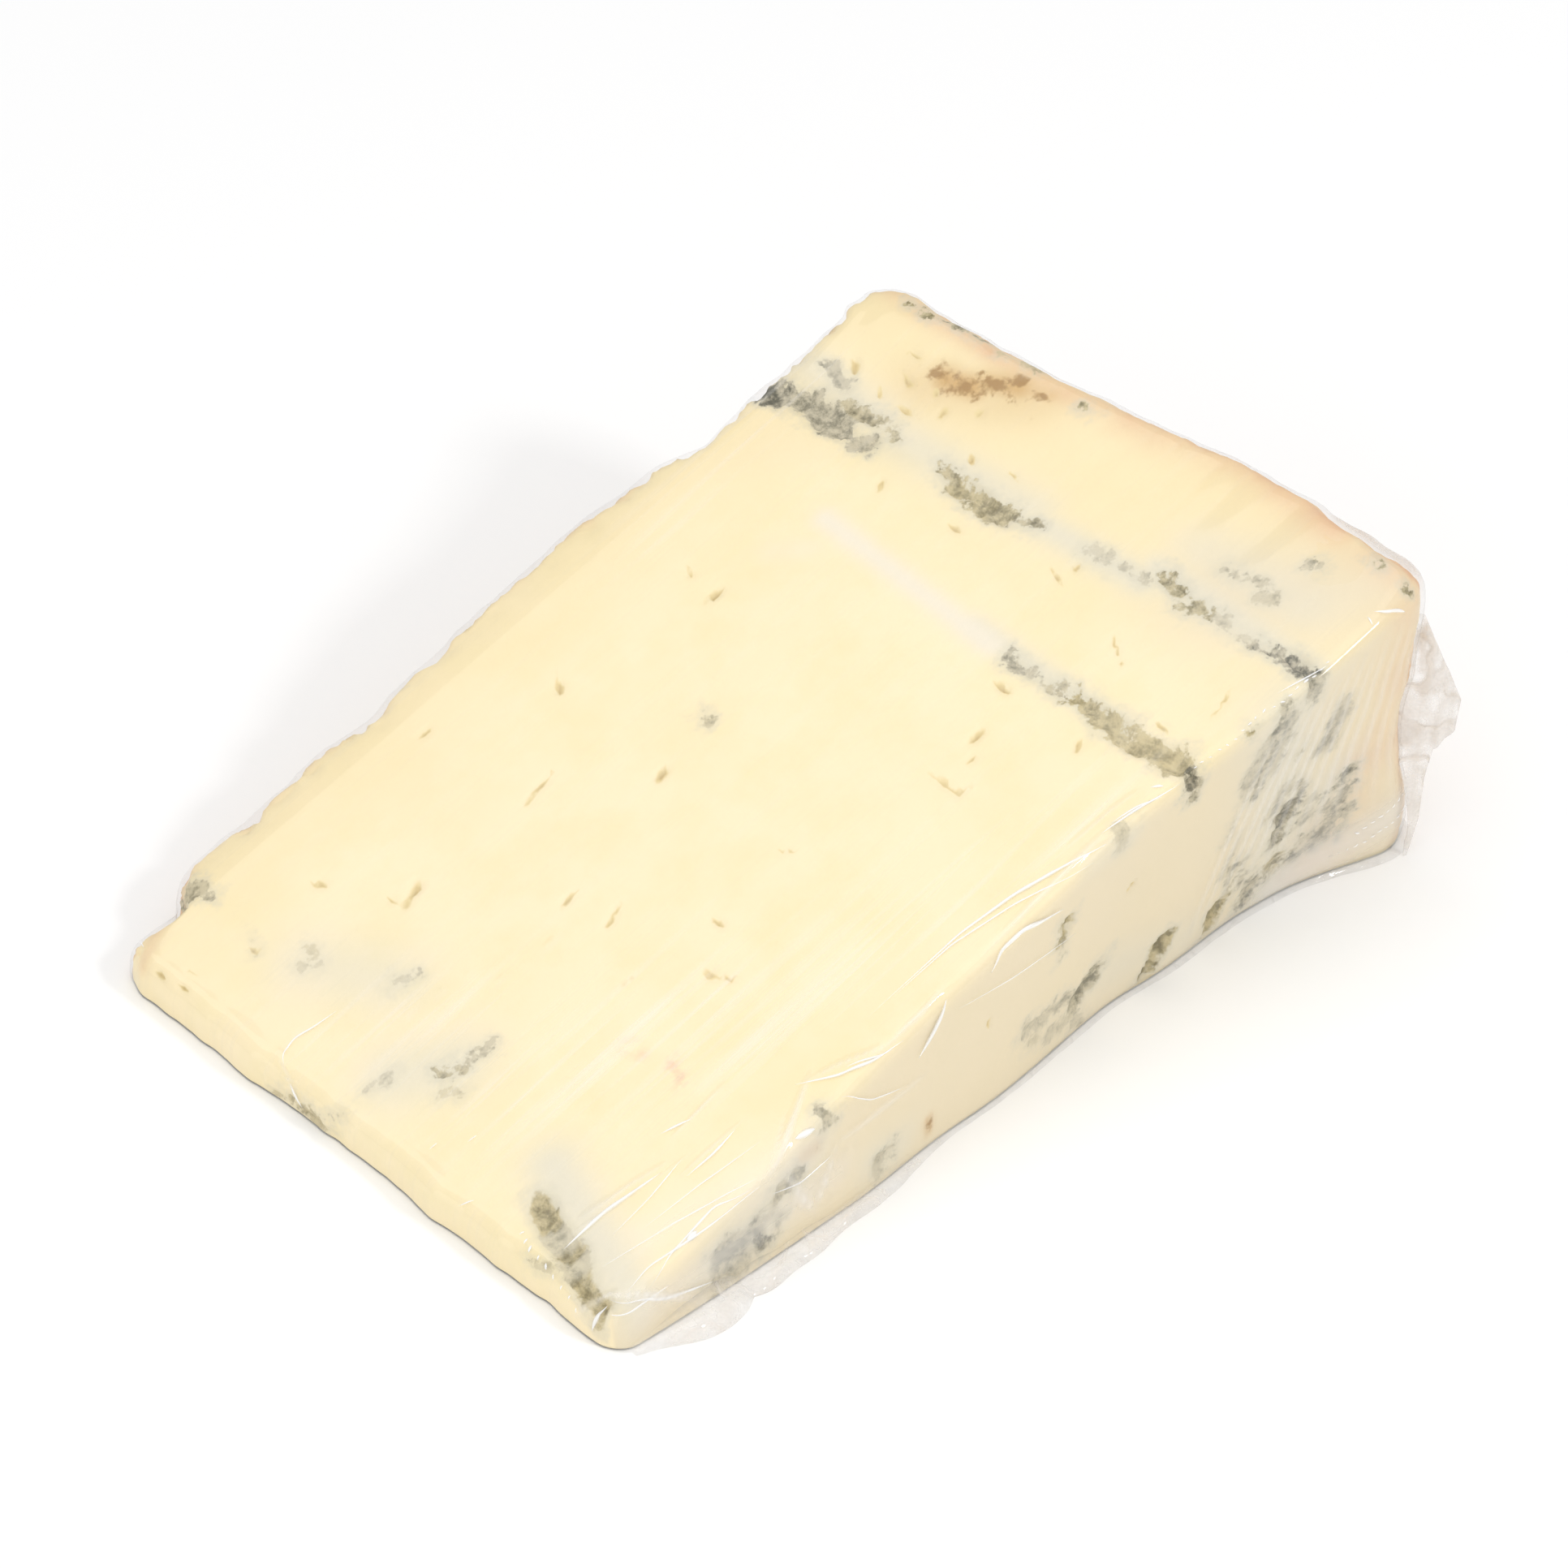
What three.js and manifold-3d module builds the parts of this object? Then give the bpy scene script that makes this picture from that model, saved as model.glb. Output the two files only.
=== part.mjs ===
// A wedge of creamy blue cheese, cut from half a wheel and wrapped in cling film.
// It lies on one radial cut: the thin tip is at -X, the heel rind at +X, the flat rind of the wheel
// at +Y and the cut through the middle of the wheel at -Y.
// Millimetres, +Z up, with the origin on the floor under the middle of the whole.

import * as THREE from "three";
import { mergeVertices } from "three/addons/utils/BufferGeometryUtils.js";
import Module from "manifold-3d";

const wasm = await Module();
wasm.setup();

// Driving dimensions of the wedge
const REACH = 147.5; // from the tip to the heel, the radius of the wheel
const HALF_DEPTH = 47.5; // half of the way from the flat rind to the middle cut
const TIP_THICK = 4; // the blunt tip
const CUT_ANGLE = THREE.MathUtils.degToRad(17.85); // between the two radial cuts
const EDGE_ROUND = 2; // soft cheese never keeps a sharp arris
const FOOT_ROUND = 0.7; // its own weight presses the lower edges square
const HEEL_ROUND = 6; // the top of the heel
const HEEL_CORNER = 7; // the upright corners of the heel, seen from above
const TIP_CORNER = 4; // the corners of the tip, seen from above
const FOOT = 0.9; // the cheese stands on film, this far above the floor

// Driving dimensions of the film
const FILM_THICK = 0.5; // the layers that are gathered under the wedge
const FILM_GAP = 0.35; // clear of the cheese all along
const SKIRT_INSIDE = 4; // how far the gathered rim starts under the cheese
const EAR_HEIGHT = 41; // the dog-ear of spare film up the heel's corner
const EAR_THICK = 0.9;

// Lattice of the wedge: cells along X, Y and Z, and how much closer they are near the edges
const CELLS = [50, 32, 11];
const CROWDING = 0.4;

// Noise on a lattice of whole numbers, from -1 to 1, the same on every machine
function latticeValue(i, j, k) {
  let h = Math.imul(i, 374761393) + Math.imul(j, 668265263) + Math.imul(k, 1442695041);
  h = Math.imul(h ^ (h >>> 13), 1274126177);
  return ((h ^ (h >>> 16)) >>> 0) / 2147483648 - 1;
}

function noise(x, y, z) {
  const [i, j, k] = [Math.floor(x), Math.floor(y), Math.floor(z)];
  const ease = (t) => t * t * (3 - 2 * t);
  const [u, v, w] = [ease(x - i), ease(y - j), ease(z - k)];
  const mix = THREE.MathUtils.lerp;
  const row = (b, c) => mix(latticeValue(i, b, c), latticeValue(i + 1, b, c), u);
  return mix(mix(row(j, k), row(j + 1, k), v), mix(row(j, k + 1), row(j + 1, k + 1), v), w);
}

const smooth = (x, from, to) => {
  const t = THREE.MathUtils.clamp((x - from) / (to - from), 0, 1);
  return t * t * (3 - 2 * t);
};

// Height of the upper cut over the foot of the wedge
const cutHeight = (x) => TIP_THICK + Math.tan(CUT_ANGLE) * x;

// Notches where the flat rind has crumbled, by their place along the reach
const RIND_NOTCHES = [
  { x: 9.6, deep: 3.4, wide: 2.3 },
  { x: 25.5, deep: 1.5, wide: 2.6 },
  { x: 48, deep: 1.3, wide: 4.5 },
  { x: 65, deep: 0.9, wide: 2.5 },
];

// How far the flat rind stands out or falls in, from the plane of the wheel's face
function flatRindRelief(x, z) {
  const bulge = 1 + 3.2 * smooth(x, 6, 18) * (1 - smooth(x, 88, 106));
  const lumps = 0.9 * noise(x / 6.5, 3.1, z / 7) + 0.45 * noise(x / 2.9, 8.7, z / 3.3);
  const notches = RIND_NOTCHES.map((n) => n.deep * Math.exp(-(((x - n.x) / n.wide) ** 2)));
  return bulge + lumps - notches.reduce((sum, deep) => sum + deep, 0);
}

// The heel rind: it swells towards the middle cut and is rough all over
function heelRelief(y, z) {
  const swell = 7.3 * (smooth(-y, -34, 26) - 1) + 0.8;
  const hollow = -1.5 * Math.exp(-(((y + 37) / 9) ** 2)) * smooth(z, 28, 44);
  const sag = 4.6 * (1 - smooth(z, 2, 26)) * smooth(-y, -5, 40);
  return swell + hollow + sag + 0.8 * noise(12.3, y / 7, z / 6.5) + 0.4 * noise(5.9, y / 3, z / 2.8);
}

// The middle cut leans: its foot is tucked under at the heel and spreads at the tip
function middleCutShift(x, z) {
  const top = 1.6 * smooth(x, 10, 60) - 3.2 * smooth(x, 92, 128);
  const spread = -1.6 * (1 - smooth(x, 42, 66));
  const tuck = 4.4 * smooth(x, 64, 104) + 3.8 * smooth(x, 100, 124) - 4.4 * smooth(x, 126, 146);
  return top + (spread + tuck) * (1 - z / cutHeight(x));
}

// Seen from above the wedge is an oblong with round corners. This gives how far a place is beyond
// the centre of the nearest corner, along X and along Y, with that corner's radius.
function beyondCorner(x, y) {
  const atHeel = x > REACH / 2;
  const radius = atHeel ? HEEL_CORNER : TIP_CORNER;
  const a = radius - (atHeel ? REACH - x : x);
  const b = radius - (HALF_DEPTH - Math.abs(y));
  return { a, b, radius, towardsX: atHeel ? 1 : -1, towardsY: Math.sign(y) };
}

// Moves a place inside a corner towards or from the corner's centre
function scaleCorner(p, { a, b, towardsX, towardsY }, scale) {
  p.x += a * towardsX * (scale - 1);
  p.y += b * towardsY * (scale - 1);
}

// A point of the wedge's skin. The three numbers run from 0 to 1 across a box and one of them is 0
// or 1. The sharp wedge is rounded at its corners and edges, leaned and roughened.
function wedgePoint(s, t, h) {
  const sharp = new THREE.Vector3(s * REACH, (2 * t - 1) * HALF_DEPTH, 0);
  const corner = beyondCorner(sharp.x, sharp.y);
  if (corner.a > 0 && corner.b > 0)
    scaleCorner(sharp, corner, Math.max(corner.a, corner.b) / Math.hypot(corner.a, corner.b));
  sharp.z = h * cutHeight(sharp.x);

  const heelTop = smooth(sharp.x, REACH - 14, REACH) * smooth(h, 0.4, 0.75);
  const upper = THREE.MathUtils.lerp(EDGE_ROUND, HEEL_ROUND, heelTop);
  const round = THREE.MathUtils.lerp(FOOT_ROUND, upper, smooth(h, 0.2, 0.45));
  const inner = sharp.clone();
  const inset = beyondCorner(sharp.x, sharp.y);
  const away = Math.hypot(inset.a, inset.b);
  if (inset.a > 0 && inset.b > 0) {
    scaleCorner(inner, inset, Math.min(1, (inset.radius - round) / away));
  } else {
    inner.x = THREE.MathUtils.clamp(sharp.x, round, REACH - round);
    inner.y = THREE.MathUtils.clamp(sharp.y, round - HALF_DEPTH, HALF_DEPTH - round);
  }
  inner.z = THREE.MathUtils.clamp(sharp.z, FOOT_ROUND, cutHeight(inner.x) - round);
  const out = sharp.sub(inner).normalize();
  const p = inner.clone().addScaledVector(out, round);

  p.y += flatRindRelief(p.x, p.z) * smooth(out.y, 0, 1) * smooth(p.y, 0, HALF_DEPTH);
  p.y += middleCutShift(p.x, p.z) * smooth(-p.y, -10, HALF_DEPTH);
  p.x += heelRelief(p.y, p.z) * smooth(p.x, 0.8 * REACH, REACH);
  p.z += 0.35 * noise(p.x / 24, p.y / 24, 2.5) * smooth(out.z, 0.5, 1);
  return p.setZ(p.z + FOOT);
}

// A closed solid from the boundary of a box of cells, each corner placed by a function
function boxSkin(cells, place, crowding = 0) {
  const [nx, ny, nz] = cells;
  const spread = (u) => u - (crowding * Math.sin(2 * Math.PI * u)) / (2 * Math.PI);
  const corners = [];
  const face = (nu, nv, at) => {
    for (let u = 0; u < nu; u++)
      for (let v = 0; v < nv; v++) {
        const [a, b, c, d] = [at(u, v), at(u + 1, v), at(u + 1, v + 1), at(u, v + 1)];
        corners.push(...((u + v) % 2 ? [a, b, c, a, c, d] : [a, b, d, b, c, d]));
      }
  };
  face(nx, ny, (u, v) => [u, v, nz]);
  face(ny, nx, (u, v) => [v, u, 0]);
  face(nx, nz, (u, v) => [u, 0, v]);
  face(nz, nx, (u, v) => [v, ny, u]);
  face(ny, nz, (u, v) => [nx, u, v]);
  face(nz, ny, (u, v) => [0, v, u]);
  const placed = ([i, j, k]) => place(spread(i / nx), spread(j / ny), spread(k / nz)).toArray();
  const places = corners.flatMap(placed);
  return solidOf(places);
}

// Positions in threes, three to a triangle, as a solid
function solidOf(positions) {
  const loose = new THREE.BufferGeometry();
  loose.setAttribute("position", new THREE.Float32BufferAttribute(positions, 3));
  const merged = mergeVertices(loose, 1e-3);
  return new wasm.Manifold(
    new wasm.Mesh({
      numProp: 3,
      vertProperties: merged.attributes.position.array,
      triVerts: new Uint32Array(merged.index.array),
    }),
  );
}

const wholeWedge = boxSkin(CELLS, wedgePoint, CROWDING);

// Veins of mould: needle holes that ran from the flat rind, opened by the cut. Each runs along Y at
// its own distance from the tip and breaks the upper cut between two places.
const VEINS = [
  { from: [116.8, 50], to: [119.4, 27], wide: 3, deep: 1 },
  { from: [120, 17.5], to: [119.4, 3], wide: 2.3, deep: 1 },
  { from: [124, -20.5], to: [123.4, -27.5], wide: 1.3, deep: 1 },
  { from: [123.4, -37], to: [123, -51], wide: 1.4, deep: 1.9 },
  { from: [102.8, -15], to: [103, -24], wide: 1.2, deep: 0.9 },
  { from: [103.2, -26], to: [103, -50], wide: 1.9, deep: 1.7 },
  { from: [8.4, -26], to: [2.4, -46], wide: 1.9, deep: 1.5 },
  { from: [17, -1], to: [15, -5], wide: 1.2, deep: 0.9 },
];

// Eyes in the upper cut: X, Y, half length, half width and the turn of the slit in degrees
const TOP_EYES = [
  [87.7, 32.5, 1.5, 0.8, 70],
  [87, 27, 1.4, 0.8, 150],
  [64, 32.3, 1.5, 0.9, 60],
  [72.2, 12.5, 1.1, 0.8, 120],
  [62.3, 10.4, 1.7, 1, 20],
  [50.5, 22.4, 2.6, 0.7, 20],
  [23.5, 34.2, 1.5, 0.9, 100],
  [30, 23, 2.2, 1, 30],
  [50.2, -13.6, 1.2, 0.9, 100],
  [37.2, -10.8, 1, 0.9, 0],
  [44.4, -19.6, 1.6, 0.9, 100],
  [83.3, -23.5, 1.7, 0.8, 80],
  [91.2, -19.9, 1.1, 0.8, 0],
  [98.6, -16.8, 1.2, 0.9, 90],
  [126.3, 39.4, 1.5, 1.1, 40],
  [129.2, 32.4, 1.3, 0.9, 60],
];

// Holes in the middle cut: X, Z, half length, half width and turn in degrees
const SIDE_EYES = [
  [80.7, 24.4, 1.4, 1.1, 90],
  [96.4, 9.8, 3, 1.7, 70],
  [84.9, 10.7, 2.6, 1.6, 30],
  [75.5, 9, 1.9, 1.4, 60],
  [108.8, 9.5, 2.5, 1.3, 70],
  [122.6, 18.8, 2.8, 1.7, 80],
  [131, 22, 1.6, 1.2, 40],
  [31, 7, 2, 1.6, 20],
  [50, 4.6, 1.7, 1.3, 60],
];

// A jagged lump, to be cut away: a coarse ball, drawn out and dented
function lump(at, radii, turn, seed, shape = THREE.IcosahedronGeometry) {
  const ball = new shape(1, 1);
  const spot = ball.attributes.position;
  for (let i = 0; i < spot.count; i++) {
    const p = new THREE.Vector3().fromBufferAttribute(spot, i);
    p.multiplyScalar(1 + 0.3 * noise(1.7 * p.x + seed, 1.7 * p.y, 1.7 * p.z));
    spot.setXYZ(i, p.x, p.y, p.z);
  }
  const place = new THREE.Matrix4().compose(at, new THREE.Quaternion().setFromEuler(turn), radii);
  ball.applyMatrix4(place);
  return solidOf([...spot.array]);
}

// A vein's opening is a chain of lumps along its line, lying in the slope of the upper cut
function veinLumps(vein, seed) {
  const [from, to] = [new THREE.Vector2(...vein.from), new THREE.Vector2(...vein.to)];
  const count = Math.max(2, Math.round(from.distanceTo(to) / 2.4));
  return Array.from({ length: count }, (_, i) => {
    const spot = from.clone().lerp(to, i / (count - 1));
    spot.x += 0.5 * vein.wide * noise(3.3 * i + 0.5, seed + 0.5, 0.5);
    const size = 1 + 0.35 * noise(2.1 * i + 0.5, 0.5, seed + 0.5);
    const at = new THREE.Vector3(spot.x, spot.y, cutHeight(spot.x) + FOOT);
    const radii = new THREE.Vector3(vein.wide * size, 3.4, vein.deep * size);
    return lump(at, radii, new THREE.Euler(0, -CUT_ANGLE, 0.2 * noise(i, seed, 0.5)), seed + i);
  });
}

function topEye([x, y, long, wide, turn], i) {
  const at = new THREE.Vector3(x, y, cutHeight(x) + FOOT);
  const euler = new THREE.Euler(0, -CUT_ANGLE, THREE.MathUtils.degToRad(turn), "YZX");
  return lump(at, new THREE.Vector3(long, wide, wide), euler, 40 + i, THREE.OctahedronGeometry);
}

function sideEye([x, z, long, wide, turn], i) {
  const y = -HALF_DEPTH + middleCutShift(x, z);
  const euler = new THREE.Euler(0, -THREE.MathUtils.degToRad(turn), 0);
  const radii = new THREE.Vector3(long, 0.9 * wide, wide);
  return lump(new THREE.Vector3(x, y, z + FOOT), radii, euler, 80 + i, THREE.OctahedronGeometry);
}

// Chips out of the lower edge of the tip
function tipChips() {
  return [7, 10, 14, 17].map((y, i) => {
    const radii = new THREE.Vector3(1.1, 2.3, 1);
    const turn = new THREE.Euler(0, 0, 0.3 * i);
    return lump(new THREE.Vector3(0.2, y, FOOT), radii, turn, 120 + i, THREE.OctahedronGeometry);
  });
}

function cheeseWedge() {
  const cuts = [
    ...VEINS.flatMap((vein, i) => veinLumps(vein, 10 * i)),
    ...TOP_EYES.map(topEye),
    ...SIDE_EYES.map(sideEye),
    ...tipChips(),
  ];
  const cut = wholeWedge.subtract(wasm.Manifold.union(cuts));
  return biggest(cut.simplify(0.06));
}

// The largest of the bodies that cutting leaves
function biggest(solid) {
  return solid.decompose().sort((a, b) => b.volume() - a.volume())[0];
}

// The wedge's foot seen from above, as a closed line that starts at the tip
function footLine(stations) {
  const corners = [[0, 0], [1, 0], [1, 1], [0, 1], [0, 0]];
  const lengths = [REACH, 2 * HALF_DEPTH, REACH, 2 * HALF_DEPTH];
  const whole = 2 * REACH + 4 * HALF_DEPTH;
  return Array.from({ length: stations }, (_, i) => {
    let along = (i / stations) * whole;
    let side = 0;
    while (along >= lengths[side]) along -= lengths[side++];
    const share = along / lengths[side];
    const [s, t] = [0, 1].map((n) => THREE.MathUtils.lerp(corners[side][n], corners[side + 1][n], share));
    return wedgePoint(s, t, 0.04);
  });
}

// Where spare film stands out from the foot: place, width and how far it spreads along the foot
const GATHERS = [
  { x: 13, y: -50, wide: 4.4, spread: 7 },
  { x: 28, y: -50, wide: 3.4, spread: 10 },
  { x: 46, y: -49, wide: 2, spread: 10 },
  { x: 146, y: -44, wide: 0.9, spread: 8 },
  { x: 147, y: -10, wide: 1.4, spread: 20 },
  { x: 143, y: 46, wide: 3, spread: 8 },
  { x: 80, y: 50, wide: 1.6, spread: 40 },
];

function skirtWidth(p) {
  const least = p.x < 3 ? 0.8 : 1.4 + smooth(-p.y, 20, 40);
  const spare = GATHERS.map((g) => g.wide * Math.exp(-((p.x - g.x) ** 2 + (p.y - g.y) ** 2) / g.spread ** 2));
  return least + spare.reduce((sum, wide) => sum + wide, 0);
}

// The film under the wedge, with its rim gathered in pleats round the foot
function filmTray() {
  const stations = 150;
  const foot = footLine(stations);
  const centre = new THREE.Vector3(0.5 * REACH, 0, 0);
  const rings = foot.map((p, i) => {
    const ahead = foot[(i + 1) % stations].clone().sub(foot[(i + stations - 1) % stations]);
    const out = new THREE.Vector3(ahead.y, -ahead.x, 0).normalize();
    const pleat = Math.abs(noise(0.62 * i, 4.5, 0.5));
    const fold = Math.abs(noise(0.62 * i + 9.5, 7.5, 0.5));
    const wide = skirtWidth(p) * (0.8 + 0.4 * fold);
    const rise = 0.35 + 0.42 * wide;
    const step = (away, z) => new THREE.Vector3(p.x + out.x * away, p.y + out.y * away, z);
    return [
      step(-SKIRT_INSIDE, 0),
      step(wide, 0),
      step(wide, 0.3 + 0.6 * pleat * rise),
      step(0.62 * wide, FILM_THICK + rise * (0.5 + pleat)),
      step(0.25 * wide, FILM_THICK + rise * (0.6 + 0.8 * fold)),
      step(-SKIRT_INSIDE, FILM_THICK),
    ];
  });
  const positions = [];
  const triangle = (a, b, c) => positions.push(...a.toArray(), ...b.toArray(), ...c.toArray());
  rings.forEach((ring, i) => {
    const next = rings[(i + 1) % stations];
    for (let k = 0; k + 1 < ring.length; k++) {
      triangle(ring[k], next[k], next[k + 1]);
      triangle(ring[k], next[k + 1], ring[k + 1]);
    }
    const last = ring.length - 1;
    triangle(centre, next[0], ring[0]);
    triangle(centre.clone().setZ(FILM_THICK), ring[last], next[last]);
  });
  return solidOf(positions);
}

// The dog-ear: how far it stands out from the corner, by its height over the floor
const EAR_REACH = new THREE.SplineCurve(
  [[0, 1.6], [6, 2.8], [13, 3], [18.5, 3.6], [21.5, 5.6], [27, 5.9], [33, 3.6], [EAR_HEIGHT, -0.6]].map(
    ([z, reach]) => new THREE.Vector2(z, reach),
  ),
);

function filmEar() {
  const [columns, rows] = [6, 22];
  const root = new THREE.Vector3(137.4, -38.8, 0);
  const out = new THREE.Vector3(0.8, -0.6, 0);
  const side = new THREE.Vector3(0.6, 0.8, 0);
  const rootToCorner = 12;
  return boxSkin([columns, 1, rows], (s, t, h) => {
    const { x: z, y: reach } = EAR_REACH.getPoint(h);
    const away = s * (rootToCorner + reach);
    const pleat = 1.3 * s * noise(2.6 * s, 0.5, z / 5) + 0.5 * s * Math.sin(z / 2.1);
    const thick = (t - 0.5) * EAR_THICK;
    return root.clone().addScaledVector(out, away).addScaledVector(side, pleat + thick).setZ(z);
  });
}

function clingFilm() {
  const g = FILM_GAP;
  const shifts = [[g, 0, 0], [-g, 0, 0], [0, g, 0], [0, -g, 0], [0, 0, -g]];
  const clear = wasm.Manifold.union(shifts.map((shift) => wholeWedge.translate(shift)));
  const film = filmTray().add(filmEar()).subtract(clear);
  return biggest(film.simplify(0.08));
}

// A solid as a mesh of the scene
function meshOf(name, solid, material) {
  const { vertProperties, triVerts } = solid.getMesh();
  const geometry = new THREE.BufferGeometry();
  geometry.setAttribute("position", new THREE.BufferAttribute(vertProperties, 3));
  geometry.setIndex(new THREE.BufferAttribute(triVerts, 1));
  geometry.computeVertexNormals();
  const mesh = new THREE.Mesh(geometry, material);
  mesh.name = name;
  return mesh;
}

const paste = new THREE.MeshStandardMaterial({ color: "#fbeecb", roughness: 0.45, metalness: 0 });
const film = new THREE.MeshStandardMaterial({
  color: "#eceae6",
  roughness: 0.12,
  metalness: 0,
  transparent: true,
  opacity: 0.35,
});

const pieces = new THREE.Group();
pieces.add(meshOf("cheese_wedge", cheeseWedge(), paste));
pieces.add(meshOf("cling_film", clingFilm(), film));

const middle = new THREE.Box3().setFromObject(pieces).getCenter(new THREE.Vector3());
pieces.position.set(-middle.x, -middle.y, 0);

const wrappedWedge = new THREE.Group();
wrappedWedge.add(pieces);

export default wrappedWedge;
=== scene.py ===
import math

import bpy
import numpy as np
from mathutils import Matrix, Vector


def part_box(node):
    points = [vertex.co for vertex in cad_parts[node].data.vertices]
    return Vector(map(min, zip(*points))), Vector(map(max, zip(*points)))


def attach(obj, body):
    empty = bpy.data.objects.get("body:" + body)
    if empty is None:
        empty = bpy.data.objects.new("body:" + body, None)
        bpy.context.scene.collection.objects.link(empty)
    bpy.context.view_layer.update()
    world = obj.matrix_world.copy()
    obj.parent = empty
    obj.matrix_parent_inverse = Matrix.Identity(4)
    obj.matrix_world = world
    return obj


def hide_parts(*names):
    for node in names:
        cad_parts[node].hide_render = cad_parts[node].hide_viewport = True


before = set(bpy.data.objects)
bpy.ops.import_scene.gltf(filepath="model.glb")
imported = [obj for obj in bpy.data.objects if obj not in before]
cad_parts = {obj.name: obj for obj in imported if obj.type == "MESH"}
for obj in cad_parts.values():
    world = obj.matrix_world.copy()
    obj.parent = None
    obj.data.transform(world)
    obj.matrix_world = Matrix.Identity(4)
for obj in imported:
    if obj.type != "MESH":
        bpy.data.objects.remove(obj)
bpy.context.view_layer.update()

# The camera stands to the left of the tip and looks down at 39 degrees along the wedge, through
# a long lens, rolled a little. Its target is given from the middle of the tip's lower edge.
MM = 0.001
WEDGE_LOW = np.array(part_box("cheese_wedge")[0]) / MM
TIP = np.array([WEDGE_LOW[0], 0.0, 0.0])
VIEW_TURN = math.radians(-45.18)
VIEW_DOWN = math.radians(39.04)
VIEW_ROLL = math.radians(2.59)
VIEW_AWAY = 970.6
VIEW_TARGET = TIP + [77.34, 2.55, 20.0]
LENS = 167.7

back = Vector(
    (
        math.sin(VIEW_TURN) * math.cos(VIEW_DOWN),
        -math.cos(VIEW_TURN) * math.cos(VIEW_DOWN),
        math.sin(VIEW_DOWN),
    )
)
level = Vector((math.cos(VIEW_TURN), math.sin(VIEW_TURN), 0.0))
rise = back.cross(level)
right = math.cos(VIEW_ROLL) * level + math.sin(VIEW_ROLL) * rise
upward = back.cross(right)
camera = bpy.data.objects.new("camera", bpy.data.cameras.new("camera"))
camera.data.lens = LENS
camera.data.sensor_width = 36.0
camera.matrix_world = Matrix.Translation(Vector(VIEW_TARGET * MM) + back * VIEW_AWAY * MM) @ Matrix(
    (right, upward, back)
).transposed().to_4x4()
bpy.context.collection.objects.link(camera)
bpy.context.scene.camera = camera


# The wedge is soft blue-veined cheese, cut with a wire from half a wheel: a sector that lies on one
# of its radial cuts. The heel is the wheel's rim and the +Y side its flat face, both with rind. Its
# skin is one grid folded round a box, so every form is a function of three shares.
REACH = 147.5
HALF_DEPTH = 47.5
TIP_THICK = 4.0
CUT_ANGLE = math.radians(17.85)
EDGE_ROUND = 2.0
TIP_EXTRA_ROUND = 1.0
FOOT_ROUND = 0.4
HEEL_ROUND = 6.0
HEEL_CORNER = 7.0
TIP_CORNER = 4.0
FOOT = WEDGE_LOW[2]
# the lowest few millimetres have settled, because the film under them is thin
SETTLED = 0.8
SETTLED_HEIGHT = 4.0
# where the flat rind has crumbled: place along the reach, depth and width
RIND_NOTCHES = [(9.6, 3.4, 2.3), (25.5, 1.5, 2.6), (48.0, 1.3, 4.5), (65.0, 0.9, 2.5)]


def lattice_value(i, j, k):
    """A number from -1 to 1 for each whole place, always the same one."""
    i, j, k = (np.asarray(n).astype(np.int64) for n in (i, j, k))
    h = (i * 374761393 + j * 668265263 + k * 1442695041) & 0xFFFFFFFF
    h = ((h ^ (h >> 13)) * 1274126177) & 0xFFFFFFFF
    return (h ^ (h >> 16)) / 2147483648.0 - 1.0


def noise(x, y, z):
    x, y, z = np.broadcast_arrays(x, y, z)
    corner = [np.floor(n) for n in (x, y, z)]
    eased = [(n - c) ** 2 * (3 - 2 * (n - c)) for n, c in zip((x, y, z), corner)]
    total = 0.0
    for a in (0, 1):
        for b in (0, 1):
            for c in (0, 1):
                share = 1.0
                for step, ease in zip((a, b, c), eased):
                    share = share * (ease if step else 1 - ease)
                total = total + share * lattice_value(corner[0] + a, corner[1] + b, corner[2] + c)
    return total


def smooth(x, start, end):
    t = np.clip((x - start) / (end - start), 0, 1)
    return t * t * (3 - 2 * t)


def bell(x, centre, width):
    return np.exp(-(((x - centre) / width) ** 2))


def cut_height(x):
    return TIP_THICK + math.tan(CUT_ANGLE) * x


def flat_rind_relief(x, z, notches):
    """How far the flat rind stands out: it bulges half way, and is lumpy and crumbled."""
    bulge = 1 + 3.2 * smooth(x, 6, 18) * (1 - smooth(x, 88, 106))
    lumps = 0.9 * noise(x / 6.5, 3.1, z / 7) + 0.45 * noise(x / 2.9, 8.7, z / 3.3)
    return bulge + lumps - sum(deep * bell(x, at, wide) for at, deep, wide in notches)


def heel_relief(y, z, hollow):
    """How far the heel stands out: it falls back towards the flat rind and spreads at the foot."""
    swell = 7.3 * (smooth(-y, -34, 26) - 1) + 0.8
    dent = -1.5 * hollow * bell(y, -37, 9) * smooth(z, 28, 44)
    sag = 4.6 * (1 - smooth(z, 2, 26)) * smooth(-y, -5, 40)
    return swell + dent + sag + 0.8 * noise(12.3, y / 7, z / 6.5) + 0.4 * noise(5.9, y / 3, z / 2.8)


def middle_cut_shift(x, z):
    """How far the middle cut is moved inwards: its foot spreads by the tip and is tucked in beyond."""
    top = 1.6 * smooth(x, 10, 60) - 3.2 * smooth(x, 92, 128)
    spread = -1.6 * (1 - smooth(x, 42, 66))
    tuck = 4.4 * smooth(x, 64, 104) + 3.8 * smooth(x, 100, 124) - 4.4 * smooth(x, 126, 146)
    return top + (spread + tuck) * (1 - z / cut_height(x))


def beyond_corner(x, y):
    """How far a place is beyond the centre of the nearest upright corner, and that corner."""
    at_heel = x > REACH / 2
    radius = np.where(at_heel, HEEL_CORNER, TIP_CORNER)
    a = radius - np.where(at_heel, REACH - x, x)
    b = radius - (HALF_DEPTH - np.abs(y))
    return a, b, radius, np.where(at_heel, 1.0, -1.0), np.sign(y)


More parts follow.
